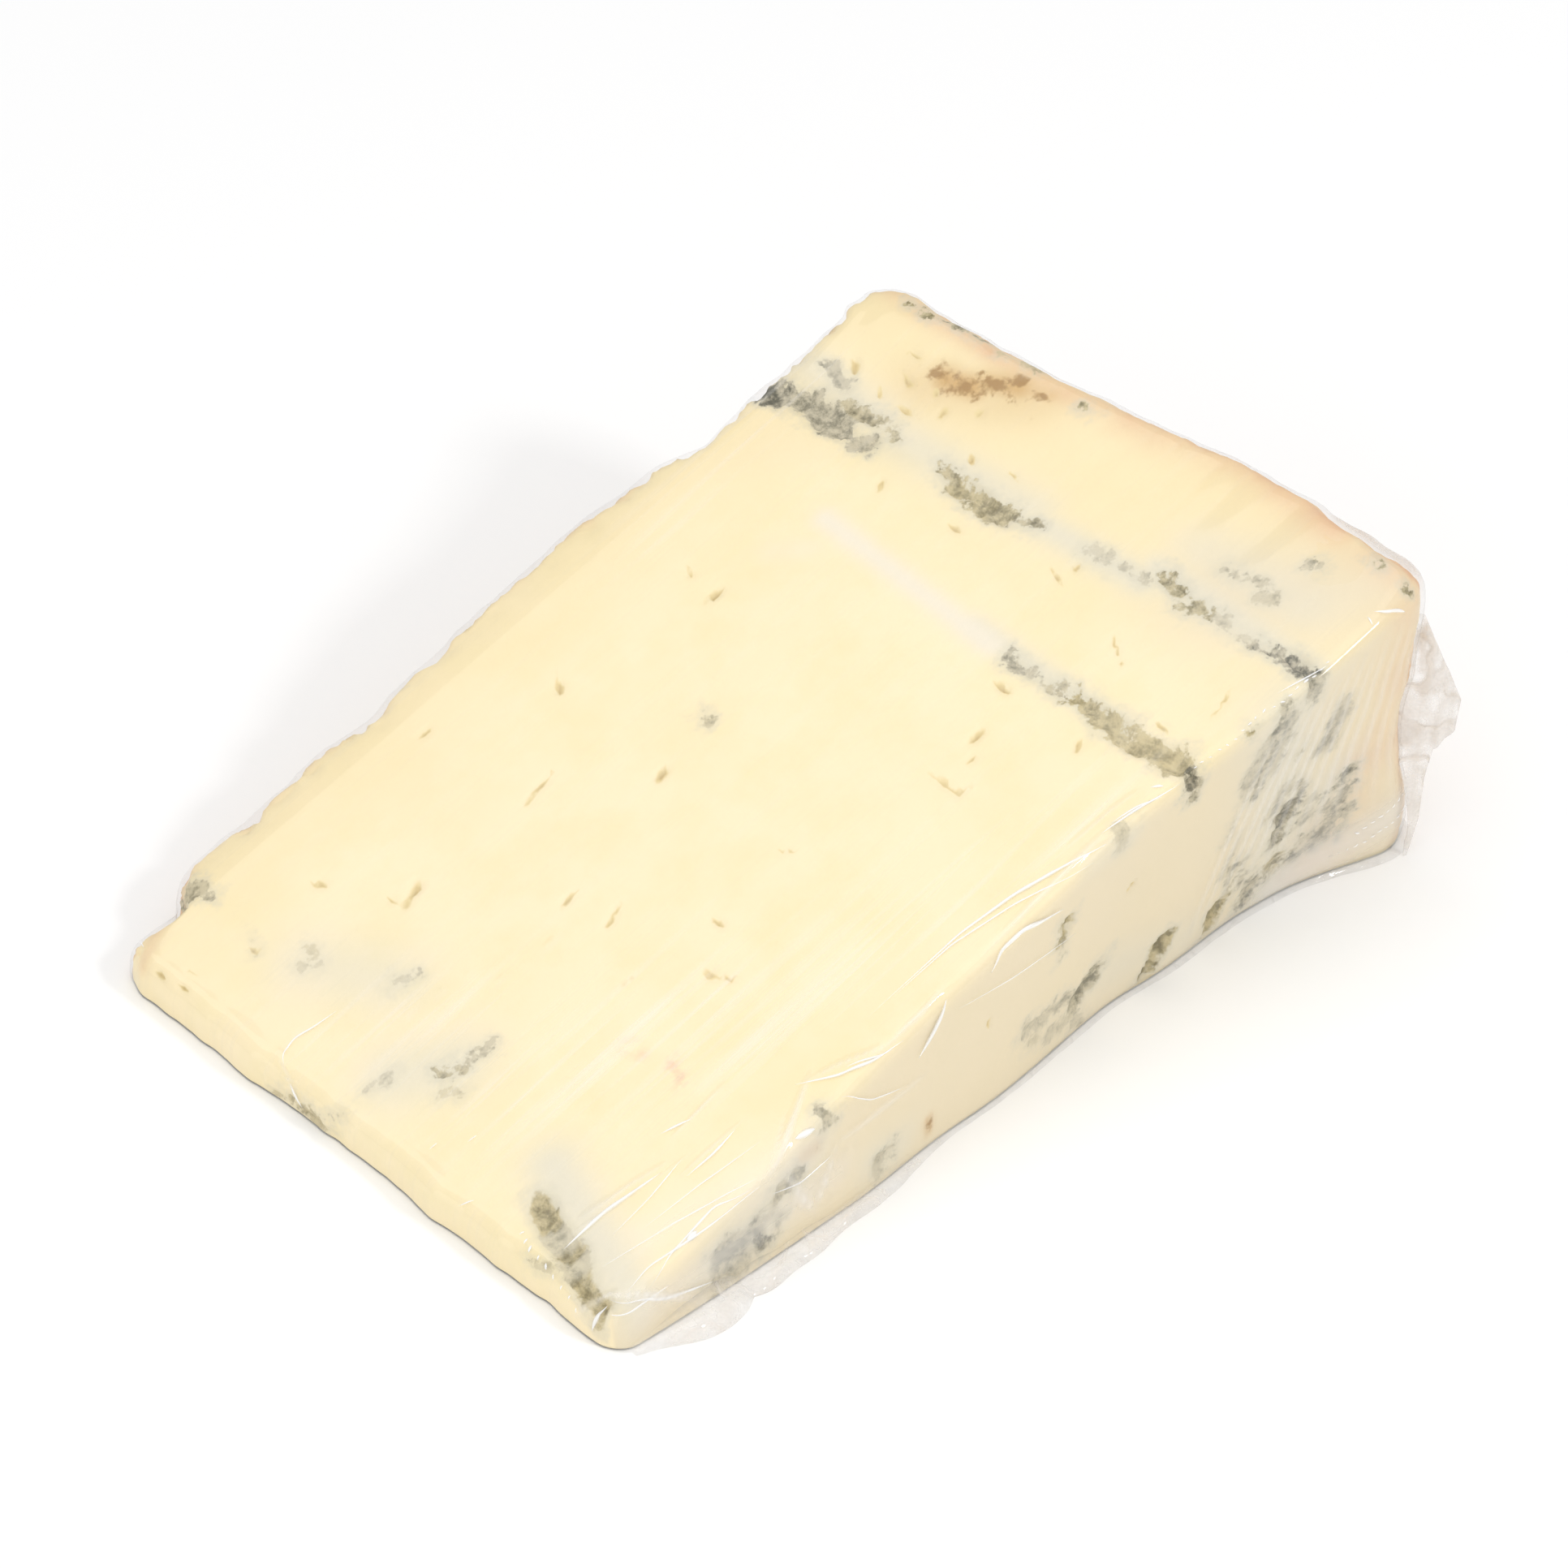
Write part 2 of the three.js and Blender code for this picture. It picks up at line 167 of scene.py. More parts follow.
def wedge_skin(s, t, h, notches=RIND_NOTCHES, hollow=1.0):
    """Places and outward directions, in millimetres from the tip, for shares of the box."""
    x, y = s * REACH, (2 * t - 1) * HALF_DEPTH
    a, b, radius, to_x, to_y = beyond_corner(x, y)
    cornered = (a > 0) & (b > 0)
    away = np.maximum(np.hypot(a, b), 1e-9)
    scale = np.where(cornered, np.maximum(a, b) / away, 1.0)
    x, y = x + a * to_x * (scale - 1), y + b * to_y * (scale - 1)
    z = h * cut_height(x)

    heel_top = smooth(x, REACH - 14, REACH) * smooth(h, 0.4, 0.75)
    rounding = EDGE_ROUND + (HEEL_ROUND - EDGE_ROUND) * heel_top
    rounding = rounding + TIP_EXTRA_ROUND * (1 - smooth(x, 2, 10))
    rounding = FOOT_ROUND + (rounding - FOOT_ROUND) * smooth(h, 0.2, 0.45)
    a, b, radius, to_x, to_y = beyond_corner(x, y)
    cornered = (a > 0) & (b > 0)
    away = np.maximum(np.hypot(a, b), 1e-9)
    scale = np.minimum(1, (radius - rounding) / away)
    inner_x = np.where(cornered, x + a * to_x * (scale - 1), np.clip(x, rounding, REACH - rounding))
    inner_y = np.where(
        cornered, y + b * to_y * (scale - 1), np.clip(y, rounding - HALF_DEPTH, HALF_DEPTH - rounding)
    )
    inner_z = np.clip(z, FOOT_ROUND, cut_height(inner_x) - rounding)
    inner = np.stack([inner_x, inner_y, inner_z], -1)
    out = np.stack([x, y, z], -1) - inner
    out /= np.linalg.norm(out, axis=-1, keepdims=True)
    p = inner + out * rounding[:, None]

    on_rind = smooth(out[:, 1], 0, 1) * smooth(p[:, 1], 0, HALF_DEPTH)
    p[:, 1] += flat_rind_relief(p[:, 0], p[:, 2], notches) * on_rind
    p[:, 1] += middle_cut_shift(p[:, 0], p[:, 2]) * smooth(-p[:, 1], -10, HALF_DEPTH)
    p[:, 0] += heel_relief(p[:, 1], p[:, 2], hollow) * smooth(p[:, 0], 0.8 * REACH, REACH)
    # the line of the tip is uneven by about a millimetre
    tip_line = 0.5 + 0.9 * noise(p[:, 1] / 7, 7.5, 0.5) + 0.35 * noise(p[:, 1] / 2.4, 2.5, 0.5)
    p[:, 0] += tip_line * (1 - smooth(p[:, 0], 0, 10))
    p[:, 2] += 0.35 * noise(p[:, 0] / 24, p[:, 1] / 24, 2.5) * smooth(out[:, 2], 0.5, 1)
    p[:, 2] += FOOT - SETTLED * (1 - smooth(p[:, 2], 0, SETTLED_HEIGHT))
    return p, out


def box_grid(lines):
    """The skin of a grid of cells: shares for each corner and the four corners of each face."""
    counts = [len(line) - 1 for line in lines]
    quads = []
    for side, (u, v) in enumerate([(1, 2), (2, 0), (0, 1)]):
        for end in (0, 1):
            i, j = np.meshgrid(np.arange(counts[u]), np.arange(counts[v]), indexing="ij")
            ring = [(0, 0), (1, 0), (1, 1), (0, 1)]
            cell = np.zeros(i.shape + (4, 3), int)
            for k, (di, dj) in enumerate(ring if end else ring[::-1]):
                cell[..., k, u] = i + di
                cell[..., k, v] = j + dj
                cell[..., k, side] = end * counts[side]
            quads.append(cell.reshape(-1, 4, 3))
    cells = np.concatenate(quads)
    key = (cells[..., 0] * (counts[1] + 1) + cells[..., 1]) * (counts[2] + 1) + cells[..., 2]
    key, faces = np.unique(key, return_inverse=True)
    key, at_z = np.divmod(key, counts[2] + 1)
    at_x, at_y = np.divmod(key, counts[1] + 1)
    return [line[n] for line, n in zip(lines, (at_x, at_y, at_z))], faces.reshape(-1, 4)


def lines_along(length, step, *closer):
    """Shares along an edge for lines a step apart, and closer in each (from, to, step) stretch."""
    place = np.linspace(0, length, 4001)
    per_mm = np.full(place.size, 1 / step)
    for first, last, close in closer:
        within = smooth(place, first - 2, first + 2) * (1 - smooth(place, last - 2, last + 2))
        per_mm = np.maximum(per_mm, within / close)
    passed = np.concatenate([[0], np.cumsum(per_mm[1:] * np.diff(place))])
    return np.interp(np.linspace(0, passed[-1], round(passed[-1]) + 1), passed, place) / length


def make_piece(name, places, faces, **fields):
    """A mesh from places in millimetres from the tip, with a number for each point by name."""
    mesh = bpy.data.meshes.new(name)
    mesh.from_pydata(((places + TIP) * MM).tolist(), [], faces)
    mesh.shade_smooth()
    for field, values in fields.items():
        mesh.attributes.new(field, "FLOAT", "POINT").data.foreach_set("value", values.astype(np.float32))
    piece = bpy.data.objects.new(name, mesh)
    bpy.context.collection.objects.link(piece)
    return piece


def flat_bottom(shares, faces):
    """The faces, with those in the middle of the flat underside made into one."""
    s, t, h = shares
    centre = np.stack([s, t, h], -1)[faces].mean(1)
    inner = (np.abs(centre[:, 0] - 0.5) < 0.45) & (np.abs(centre[:, 1] - 0.5) < 0.42)
    inside = inner & (centre[:, 2] == 0)
    edges = {}
    for face in faces[inside].tolist():
        for a, b in zip(face, face[1:] + face[:1]):
            if (b, a) in edges:
                del edges[(b, a)]
            else:
                edges[(a, b)] = True
    follow = {a: b for a, b in edges}
    start = next(iter(follow))
    loop = [start]
    while follow[loop[-1]] != start:
        loop.append(follow[loop[-1]])
    return faces[~inside].tolist() + [loop]


def unrolled(s, t, h):
    """The skin laid flat round the upper cut: millimetres from the tip and from the middle line."""
    down = (1 - h) * cut_height(s * REACH)
    along = s * REACH + np.where(s == 1, down, 0) - np.where(s == 0, down, 0)
    across = (2 * t - 1) * HALF_DEPTH + np.where(t == 1, down, 0) - np.where(t == 0, down, 0)
    return along, across


shares, quads = box_grid(
    [
        lines_along(REACH, 0.74, (0, 3, 0.45), (99, 107, 0.5), (114, 125, 0.5), (143, REACH, 0.45)),
        lines_along(2 * HALF_DEPTH, 0.74, (0, 4, 0.45), (92, 95, 0.45)),
        lines_along(0.8 * cut_height(REACH), 0.8, (0, 2, 0.5), (36, 42, 0.5)),
    ]
)
skin, outward = wedge_skin(*shares)
faces = flat_bottom(shares, quads)
along, across = unrolled(*shares)
upper = shares[2] > 0

# Mould grew along needle holes that run across the wedge. The wire laid them open as ragged
# channels and smeared the rest. Each stroke lies on the unrolled skin: its two ends, its half
# width, how deep it is, how dark, and how much of it is olive brown instead of blue-grey.
CHANNELS = [
    ((114.6, 50.0), (116.6, 43.0), 2.1, 1.0, 1.0, 0.05),
    ((116.6, 43.0), (117.4, 36.5), 2.4, 1.0, 0.75, 0.1),
    ((117.4, 36.5), (116.4, 29.0), 1.9, 1.0, 0.7, 0.1),
    ((119.6, 36.0), (121.0, 30.0), 1.4, 0.9, 0.8, 0.5),
    ((120.8, 30.0), (119.8, 26.4), 1.1, 0.5, 0.6, 0.6),
    ((124.0, 42.6), (121.8, 38.4), 1.4, 0.6, 0.6, 0.0),
    ((119.7, 17.4), (119.2, 13.8), 1.2, 0.9, 0.8, 0.7),
    ((119.2, 13.2), (118.6, 7.4), 1.9, 1.1, 0.8, 0.85),
    ((118.6, 7.4), (119.0, 3.6), 1.6, 1.0, 0.8, 0.7),
    ((119.0, 3.6), (119.9, -0.4), 0.8, 0.5, 0.9, 0.4),
    ((123.6, -19.8), (123.2, -23.6), 1.2, 0.8, 0.9, 0.6),
    ((122.2, -25.4), (122.9, -28.8), 1.0, 0.7, 0.85, 0.6),
    ((122.7, -36.0), (123.8, -41.5), 0.9, 1.2, 0.85, 0.0),
    ((123.8, -41.5), (123.6, -46.4), 1.3, 1.7, 1.0, 0.0),
    ((123.5, -46.4), (123.0, -50.4), 1.3, 1.2, 0.7, 0.0),
    ((102.4, -13.2), (102.5, -21.0), 0.9, 0.8, 0.7, 0.1),
    ((102.5, -21.0), (103.0, -24.2), 1.2, 1.0, 0.7, 0.4),
    ((103.0, -24.6), (102.9, -26.2), 1.3, 1.4, 0.85, 1.0),
    ((102.6, -28.0), (102.8, -38.0), 1.9, 1.4, 0.65, 1.0),
    ((102.8, -38.0), (103.0, -44.8), 2.2, 1.5, 0.65, 1.0),
    ((103.2, -45.0), (103.8, -50.6), 1.5, 1.3, 0.95, 0.25),
    ((7.4, -27.2), (0.6, -44.6), 2.1, 1.3, 0.8, 0.9),
    ((5.6, -31.8), (4.8, -34.0), 2.3, 0.8, 0.5, 0.1),
    ((3.6, -36.8), (2.8, -38.8), 2.2, 0.8, 0.5, 0.2),
]
SPOTS = [
    ((121.0, -9.0), (121.4, -12.0), 1.1, 0.2, 0.4, 0.1),
    ((121.6, -14.4), (121.8, -17.6), 1.0, 0.3, 0.5, 0.1),
    ((123.0, -29.4), (122.6, -36.0), 0.7, 0.2, 0.4, 0.1),
    ((12.2, 48.4), (13.4, 44.8), 1.0, 0.4, 0.75, 0.4),
    ((-3.4, 16.6), (-2.6, 13.4), 0.7, 0.8, 0.6, 0.8),
    ((-3.6, 11.2), (-3.2, 8.2), 0.8, 1.0, 0.7, 0.8),
    ((-3.4, 7.0), (-2.8, 5.4), 0.5, 0.6, 0.6, 0.7),
    ((13.4, -1.8), (19.4, -4.0), 0.8, 0.4, 0.6, 0.2),
    ((13.4, -1.8), (14.8, -3.0), 1.1, 0.5, 0.75, 0.5),
    ((5.2, 4.6), (8.4, 3.2), 0.9, 0.3, 0.4, 0.1),
    ((11.0, -4.2), (12.4, -5.8), 0.8, 0.3, 0.35, 0.5),
    ((18.8, 14.2), (21.2, 12.8), 0.9, 0.3, 0.4, 0.1),
    ((13.0, 26.0), (14.4, 24.6), 0.7, 0.1, 0.25, 0.2),
    ((-0.8, 5.6), (0.0, 4.4), 0.9, 0.2, 0.5, 0.3),
    ((0.2, -32.4), (0.8, -34.4), 0.9, 0.4, 0.5, 0.5),
    ((11.9, 35.0), (11.5, 33.8), 0.6, 0.3, 0.3, 0.6),
    ((15.5, 28.0), (14.9, 26.4), 0.7, 0.3, 0.3, 0.6),
    ((72.2, 13.2), (72.0, 11.8), 0.6, 0.5, 0.6, 0.5),
    ((129.2, -25.0), (130.2, -30.5), 0.7, 0.2, 0.6, 0.1),
    ((128.6, -31.4), (129.6, -33.4), 0.8, 0.3, 0.5, 0.2),
    ((136.0, -33.6), (136.6, -35.2), 0.8, 0.3, 0.6, 0.1),
    ((141.8, 41.0), (142.4, 36.6), 1.1, 0.3, 1.0, 0.8),
    ((143.2, 35.0), (143.4, 32.0), 0.9, 0.3, 0.9, 0.4),
    ((143.6, 30.6), (143.8, 27.6), 0.9, 0.3, 0.8, 0.3),
    ((143.4, 23.6), (143.8, 18.0), 0.9, 0.2, 0.6, 0.7),
    ((119.6, -52.0), (118.4, -60.6), 2.4, 0.1, 0.5, 0.0),
    ((131.0, -60.0), (130.0, -66.0), 2.2, 0.1, 0.45, 0.0),
    ((134.6, -80.6), (131.4, -87.0), 2.2, 0.2, 0.6, 0.0),
    ((124.0, -69.0), (122.6, -72.0), 1.6, 0.2, 0.5, 0.0),
    ((122.0, -86.6), (121.4, -88.4), 1.8, 0.4, 0.95, 0.2),
    ((125.9, -85.2), (125.6, -86.8), 1.5, 0.5, 0.9, 0.6),
    ((117.4, -78.0), (117.0, -80.0), 1.4, 0.3, 0.8, 0.2),
    ((141.0, 8.4), (140.6, 7.2), 0.7, 0.1, 0.9, 0.8),
    ((142.2, -39.8), (142.0, -41.0), 0.6, 0.1, 0.9, 0.6),
    ((141.4, -47.0), (141.6, -48.4), 0.8, 0.1, 1.0, 0.6),
    ((91.3, -47.5), (91.6, -49.8), 1.4, 0.2, 0.4, 0.2),
    ((103.7, -50.5), (103.9, -52.4), 1.2, 0.4, 0.8, 0.4),
    ((124.0, -49.6), (124.2, -51.6), 1.2, 0.5, 0.6, 0.0),
    ((118.5, -49.6), (120.3, -55.5), 0.45, 0.4, 0.5, 0.1),
    ((120.3, -55.5), (119.9, -61.4), 0.6, 0.5, 0.6, 0.1),
    ((116.6, -55.0), (114.6, -60.0), 2.2, 0.1, 0.35, 0.0),
    ((126.0, -75.2), (125.4, -79.0), 2.4, 1.2, 1.0, 0.25),
    ((126.6, -70.6), (127.3, -74.5), 0.9, 0.3, 0.7, 0.1),
    ((133.2, -77.6), (136.2, -75.6), 1.5, 0.3, 0.95, 0.1),
    ((117.8, -47.9), (117.0, -64.0), 1.2, 0.2, 0.7, 0.1),
    ((130.0, -76.6), (129.0, -80.5), 1.4, 0.2, 0.45, 0.0),
    ((135.4, -83.0), (134.5, -88.4), 0.8, 0.3, 0.8, 0.1),
    ((131.6, -84.6), (130.6, -88.0), 0.8, 0.3, 0.6, 0.4),
    ((129.3, -84.2), (128.8, -88.0), 0.9, 0.3, 0.8, 0.2),
    ((125.2, -84.0), (124.6, -86.4), 1.2, 0.6, 0.8, 0.8),
    ((119.6, -82.6), (122.8, -87.4), 1.1, 0.4, 0.8, 0.1),
    ((118.6, -80.2), (117.8, -82.4), 0.8, 0.3, 0.7, 0.4),
    ((114.4, -65.5), (113.2, -68.8), 0.5, 0.3, 0.5, 0.2),
    ((116.2, -71.0), (114.8, -77.0), 0.5, 0.2, 0.4, 0.2),
    ((115.6, -84.6), (115.1, -87.0), 1.9, 1.3, 0.9, 1.0),
    ((117.4, -80.6), (116.2, -83.0), 0.8, 0.3, 0.6, 0.1),
    ((103.0, -82.6), (104.4, -80.4), 2.3, 1.3, 0.9, 0.85),
    ((87.6, -73.6), (90.8, -72.4), 2.3, 0.9, 0.8, 0.35),
    ((76.0, -68.0), (84.0, -71.4), 1.5, 0.3, 0.55, 0.2),
    ((81.7, -74.2), (84.2, -75.4), 1.3, 0.3, 0.4, 0.2),
    ((87.4, -77.4), (88.8, -79.0), 1.0, 0.3, 0.5, 0.2),
    ((76.6, -71.0), (78.4, -72.2), 1.0, 0.3, 0.4, 0.4),
    ((82.2, -55.6), (82.4, -57.6), 1.6, 1.2, 0.9, 1.0),
    ((82.4, -58.4), (82.0, -60.4), 0.9, 0.6, 0.5, 0.4),
    ((38.4, -46.6), (38.8, -48.6), 1.3, 0.2, 0.7, 0.3),
    ((29.3, -52.6), (32.3, -52.4), 1.5, 0.5, 0.8, 0.3),
    ((28.0, -54.6), (29.6, -56.6), 1.2, 0.3, 0.5, 0.3),
    ((19.0, -54.0), (22.6, -54.8), 3.3, 0.6, 0.6, 0.2),
    ((25.4, -53.4), (26.4, -57.0), 1.5, 0.4, 0.9, 0.2),
    ((47.6, -63.6), (50.2, -64.2), 1.3, 0.8, 0.55, 0.1),
    ((129.9, -63.0), (129.7, -64.4), 1.2, 0.7, 0.85, 0.9),
    ((124.6, -61.8), (124.4, -62.8), 0.45, 0.5, 0.6, 0.9),
    ((113.2, -47.2), (113.5, -48.4), 0.6, 0.5, 0.8, 0.9),
    ((121.4, -70.6), (121.0, -72.4), 0.5, 0.4, 0.5, 0.9),
    ((11.6, 50.6), (8.4, 50.4), 1.2, 0.2, 0.9, 0.3),
    ((88.5, 50.4), (91.0, 50.8), 0.8, 0.2, 0.8, 0.6),
    ((102.8, 50.6), (105.4, 50.2), 0.8, 0.2, 0.8, 0.6),
    ((52.0, 51.0), (57.0, 51.6), 1.4, 0.2, 0.6, 0.2),
]
# the hidden sides: how many spots, how far down they go, and the seed that places them
BACK_MOULD = (70, 26, 2024)
# how wide the soft edge of mould is
MOULD_EDGE = 1.5


def from_stroke(along, across, first, last, shift=(0.0, 0.0)):
    """For each place: its share of the way along a stroke, and how far it lies from it, shifted."""
    (x0, y0), (x1, y1) = first, last
    dx, dy = x1 - x0, y1 - y0
    share = np.clip(((along - x0) * dx + (across - y0) * dy) / (dx * dx + dy * dy), 0, 1)
    return share, np.hypot(along + shift[0] - x0 - share * dx, across + shift[1] - y0 - share * dy)


def strokes_over(along, across, strokes, seed):
    """For each place: how far inside a stroke it is, in shares of the width of mould's soft edge,
    and the depth, darkness and olive share of that stroke."""
    ragged = 1 + 0.3 * noise(along / 2.4, across / 2.4, seed)
    wander = 0.6 * noise(along / 3.1, across / 3.1, seed + 7.5)
    inside = np.full(along.shape, -3.0)
    told = np.zeros((3,) + along.shape)
    for first, last, wide, *told_here in strokes:
        _, away = from_stroke(along, across, first, last, (wander * min(1, wide / 1.5), 0.0))
        here = (wide * ragged - away) / MOULD_EDGE
        told = np.where(here > inside, np.array(told_here)[:, None], told)
        inside = np.maximum(inside, here)
    return inside, told


def hidden_spots(count, longest, seed):
    """Spots of mould on the heel and on the flat rind, which lie away from the camera."""
    draw = np.random.default_rng(seed)
    spots = []
    for _ in range(count):
        if draw.random() < 0.6:
            x, y = draw.uniform(14, 142), HALF_DEPTH + draw.uniform(2, longest)
        else:
            x, y = REACH + draw.uniform(3, 40), draw.uniform(-40, 44)
        wide = draw.uniform(0.5, 1.5)
        turn = draw.uniform(0, math.pi)
        reach = wide * draw.uniform(0.5, 2.2)
        end = (x + reach * math.cos(turn), y + reach * math.sin(turn))
        spots.append(((x, y), end, wide, 0.3, draw.uniform(0.4, 1), draw.uniform(0, 1)))
    return spots


# Eyes: little slits and pits where gas stayed in the curd. Each has its place on the unrolled
# skin, half length, half width, depth and the turn of the slit in degrees.
EYES = [
    (87.7, 32.5, 1.4, 0.4, 0.7, 70),
    (87.0, 26.9, 2.1, 0.56, 1.0, 170),
    (64.1, 32.3, 1.8, 0.48, 0.8, 60),
    (62.3, 10.4, 1.8, 0.64, 0.9, 20),
    (51.4, 22.2, 3.4, 0.36, 0.6, 12),
    (23.5, 34.2, 1.7, 0.56, 0.8, 110),
    (30.0, 23.0, 2.8, 0.64, 1.0, 20),
    (27.6, 24.4, 1.3, 0.4, 0.6, 90),
    (50.2, -13.6, 1.7, 0.56, 0.8, 100),
    (37.2, -10.8, 1.1, 0.48, 0.6, 0),
    (44.2, -19.3, 1.8, 0.56, 0.9, 90),
    (45.3, -22.0, 2.0, 0.4, 0.7, 120),
    (83.3, -23.5, 3.1, 0.48, 0.8, 90),
    (85.0, -25.4, 1.4, 0.48, 0.8, 30),
    (91.2, -19.9, 1.4, 0.48, 0.8, 0),
    (88.1, -22.3, 1.1, 0.35, 0.6, 0),
    (98.6, -16.8, 1.7, 0.56, 0.9, 90),
    (97.5, -32.2, 1.4, 0.4, 0.6, 30),
    (63.3, -12.6, 1.4, 0.35, 0.5, 120),
    (42.5, -1.9, 2.5, 0.35, 0.5, 20),
    (41.2, 5.3, 1.8, 0.35, 0.5, 10),
    (48.5, 41.6, 1.0, 0.35, 0.5, 0),
    (126.0, 39.7, 1.8, 0.72, 0.9, 40),
    (129.4, 32.2, 1.5, 0.56, 0.9, 60),
    (134.2, 34.0, 1.7, 0.4, 0.6, 100),
    (124.3, 28.5, 1.4, 0.48, 0.6, 90),
    (127.3, 23.7, 1.3, 0.56, 0.6, 0),
    (131.0, 19.6, 1.4, 0.56, 0.6, 0),
    (124.6, 33.6, 1.1, 0.4, 0.5, 30),
    (130.0, 27.0, 1.3, 0.48, 0.6, 30),
    (113.0, 22.1, 1.4, 0.4, 0.7, 30),
    (113.4, 8.4, 1.4, 0.48, 0.7, 90),
    (123.5, 15.0, 1.3, 0.48, 0.7, 30),
    (124.7, 8.4, 1.3, 0.35, 0.5, 70),
    (111.7, -23.8, 3.4, 0.35, 0.5, 60),
    (118.2, -9.7, 1.4, 0.4, 0.6, 20),
    (115.6, -8.5, 1.7, 0.35, 0.5, 70),
    (106.0, -38.6, 2.2, 0.35, 0.4, 80),
    (113.4, -41.0, 2.5, 0.35, 0.4, 20),
    (3.4, 37.8, 1.4, 0.35, 0.5, 110),
    (11.2, 33.2, 2.3, 0.4, 0.5, 110),
    (40.4, 5.0, 1.6, 0.4, 0.5, 20),
    (1.2, 36.5, 1.4, 0.35, 0.5, 100),
    (0.7, 40.4, 1.1, 0.35, 0.5, 100),
    (95.3, -61.0, 1.1, 0.4, 0.6, 30),
    (68.0, -60.0, 1.0, 0.4, 0.5, 80),
]


def eyes_over(along, across):
    """For each place: how far inside an eye it is, and the eye's depth."""
    ragged = 1 + 0.9 * noise(along / 1.0, across / 1.0, 31.5)
    inside = np.full(along.shape, -3.0)
    depth = np.zeros(along.shape)
    for x, y, long, wide, deep, turn in EYES:
        c, s = math.cos(math.radians(turn)), math.sin(math.radians(turn))
        u = ((along - x) * c + (across - y) * s) / long
        v = ((across - y) * c - (along - x) * s) / wide
        here = 1 - np.hypot(u, v) / ragged
        depth = np.where(here > inside, deep, depth)
        inside = np.maximum(inside, here)
    return inside, depth


def pools_over(along, across, pools):
    """How strong the pools are at each place: they fade like a bell away from their middle line."""
    total = np.zeros(along.shape)
    for first, last, wide, strength in pools:
        _, away = from_stroke(along, across, first, last)
        total = np.maximum(total, strength * np.exp(-((away / wide) ** 2)))
    return total


# Soft pools of colour: milky over mould just under the cut, the tint of rind near its edge, the
# wire's lilac-white trail, a brown stain by the heel, duller cream, mould that the film pressed
# smooth, and pink cream. Each has its two ends, its half width and its strength.
MILKY = [
    ((120.0, 26.0), (121.5, 2.0), 3.8, 0.65),
    ((120.5, 0.0), (121.5, -18.0), 2.6, 0.75),
    ((124.0, -18.0), (124.0, -50.0), 2.6, 0.7),
    ((103.5, -6.0), (103.0, -34.0), 2.0, 0.7),
    ((122.0, 46.0), (121.0, 30.0), 4.0, 0.6),
    ((12.0, -24.0), (4.6, -47.0), 4.0, 0.8),
    ((15.0, -2.0), (9.0, 3.0), 5.5, 0.65),
    ((14.0, 26.0), (19.0, 14.0), 5.5, 0.5),
    ((130.0, -20.0), (131.0, -38.0), 4.0, 0.4),
    ((119.0, -50.0), (127.0, -86.0), 7.0, 0.7),
    ((134.0, -76.0), (128.0, -90.0), 6.0, 0.85),
    ((92.0, -74.0), (110.0, -84.0), 4.0, 0.45),
    ((19.0, -52.0), (34.0, -52.0), 5.0, 0.5),
    ((86.0, -48.0), (93.0, -50.0), 2.5, 0.4),
    ((46.0, -62.0), (52.0, -65.0), 3.0, 0.5),
]
TINTED = [
    ((142.0, 18.0), (143.2, 4.0), 3.4, 0.8),
    ((143.6, 2.0), (144.8, -12.0), 4.2, 1.0),
    ((145.0, -14.0), (144.6, -32.0), 4.2, 1.0),
    ((144.0, -38.0), (142.0, -50.0), 4.0, 0.5),
    ((142.6, 44.0), (142.0, 20.0), 2.6, 0.8),
    ((0.0, 44.0), (6.0, 47.0), 1.4, 0.5),
    ((132.0, -90.0), (146.0, -62.0), 5.0, 0.5),
    ((140.0, -50.0), (146.0, -80.0), 5.0, 0.4),
]
LILAC = [((104.5, 24.0), (102.5, -10.0), 1.9, 0.9), ((96.5, 26.0), (100.0, 22.0), 2.0, 0.3)]
STAINED = [
    ((133.0, 27.0), (134.2, 23.4), 3.2, 1.0),
    ((136.6, 21.6), (138.4, 18.0), 2.8, 0.9),
    ((139.0, 15.6), (139.6, 13.6), 1.9, 0.55),
    ((130.0, 29.0), (137.0, 15.0), 5.4, 0.34),
    ((57.3, -66.0), (57.6, -67.6), 0.8, 0.7),
    ((34.0, -50.5), (36.0, -51.0), 1.4, 0.35),
]
DULLED = [((126.0, -28.0), (141.0, -44.0), 9.0, 0.9), ((20.0, 50.0), (90.0, 51.0), 1.6, 0.7)]
SMOOTHED = [((7.4, -27.2), (0.6, -44.6), 4.0, 1.0), ((19.0, -54.0), (22.6, -54.8), 5.0, 0.7)]
PINK = [((30.2, -18.6), (30.0, -21.0), 1.1, 0.5), ((31.6, -25.4), (30.6, -28.4), 1.3, 0.7)]

channel, (channel_depth, channel_dark, channel_olive) = strokes_over(along, across, CHANNELS, 3.5)
spot, (spot_depth, spot_dark, spot_olive) = strokes_over(
    along, across, SPOTS + hidden_spots(*BACK_MOULD), 8.5
)
in_channel = channel > spot
mould = np.where(upper, np.maximum(channel, spot), -3.0)
mould_depth = np.where(in_channel, channel_depth, spot_depth)
mould_dark = np.where(in_channel, channel_dark, spot_dark)
mould_olive = np.where(in_channel, channel_olive, spot_olive)
eye, eye_depth = eyes_over(along, across)
eye = np.where(upper, eye, -3.0)

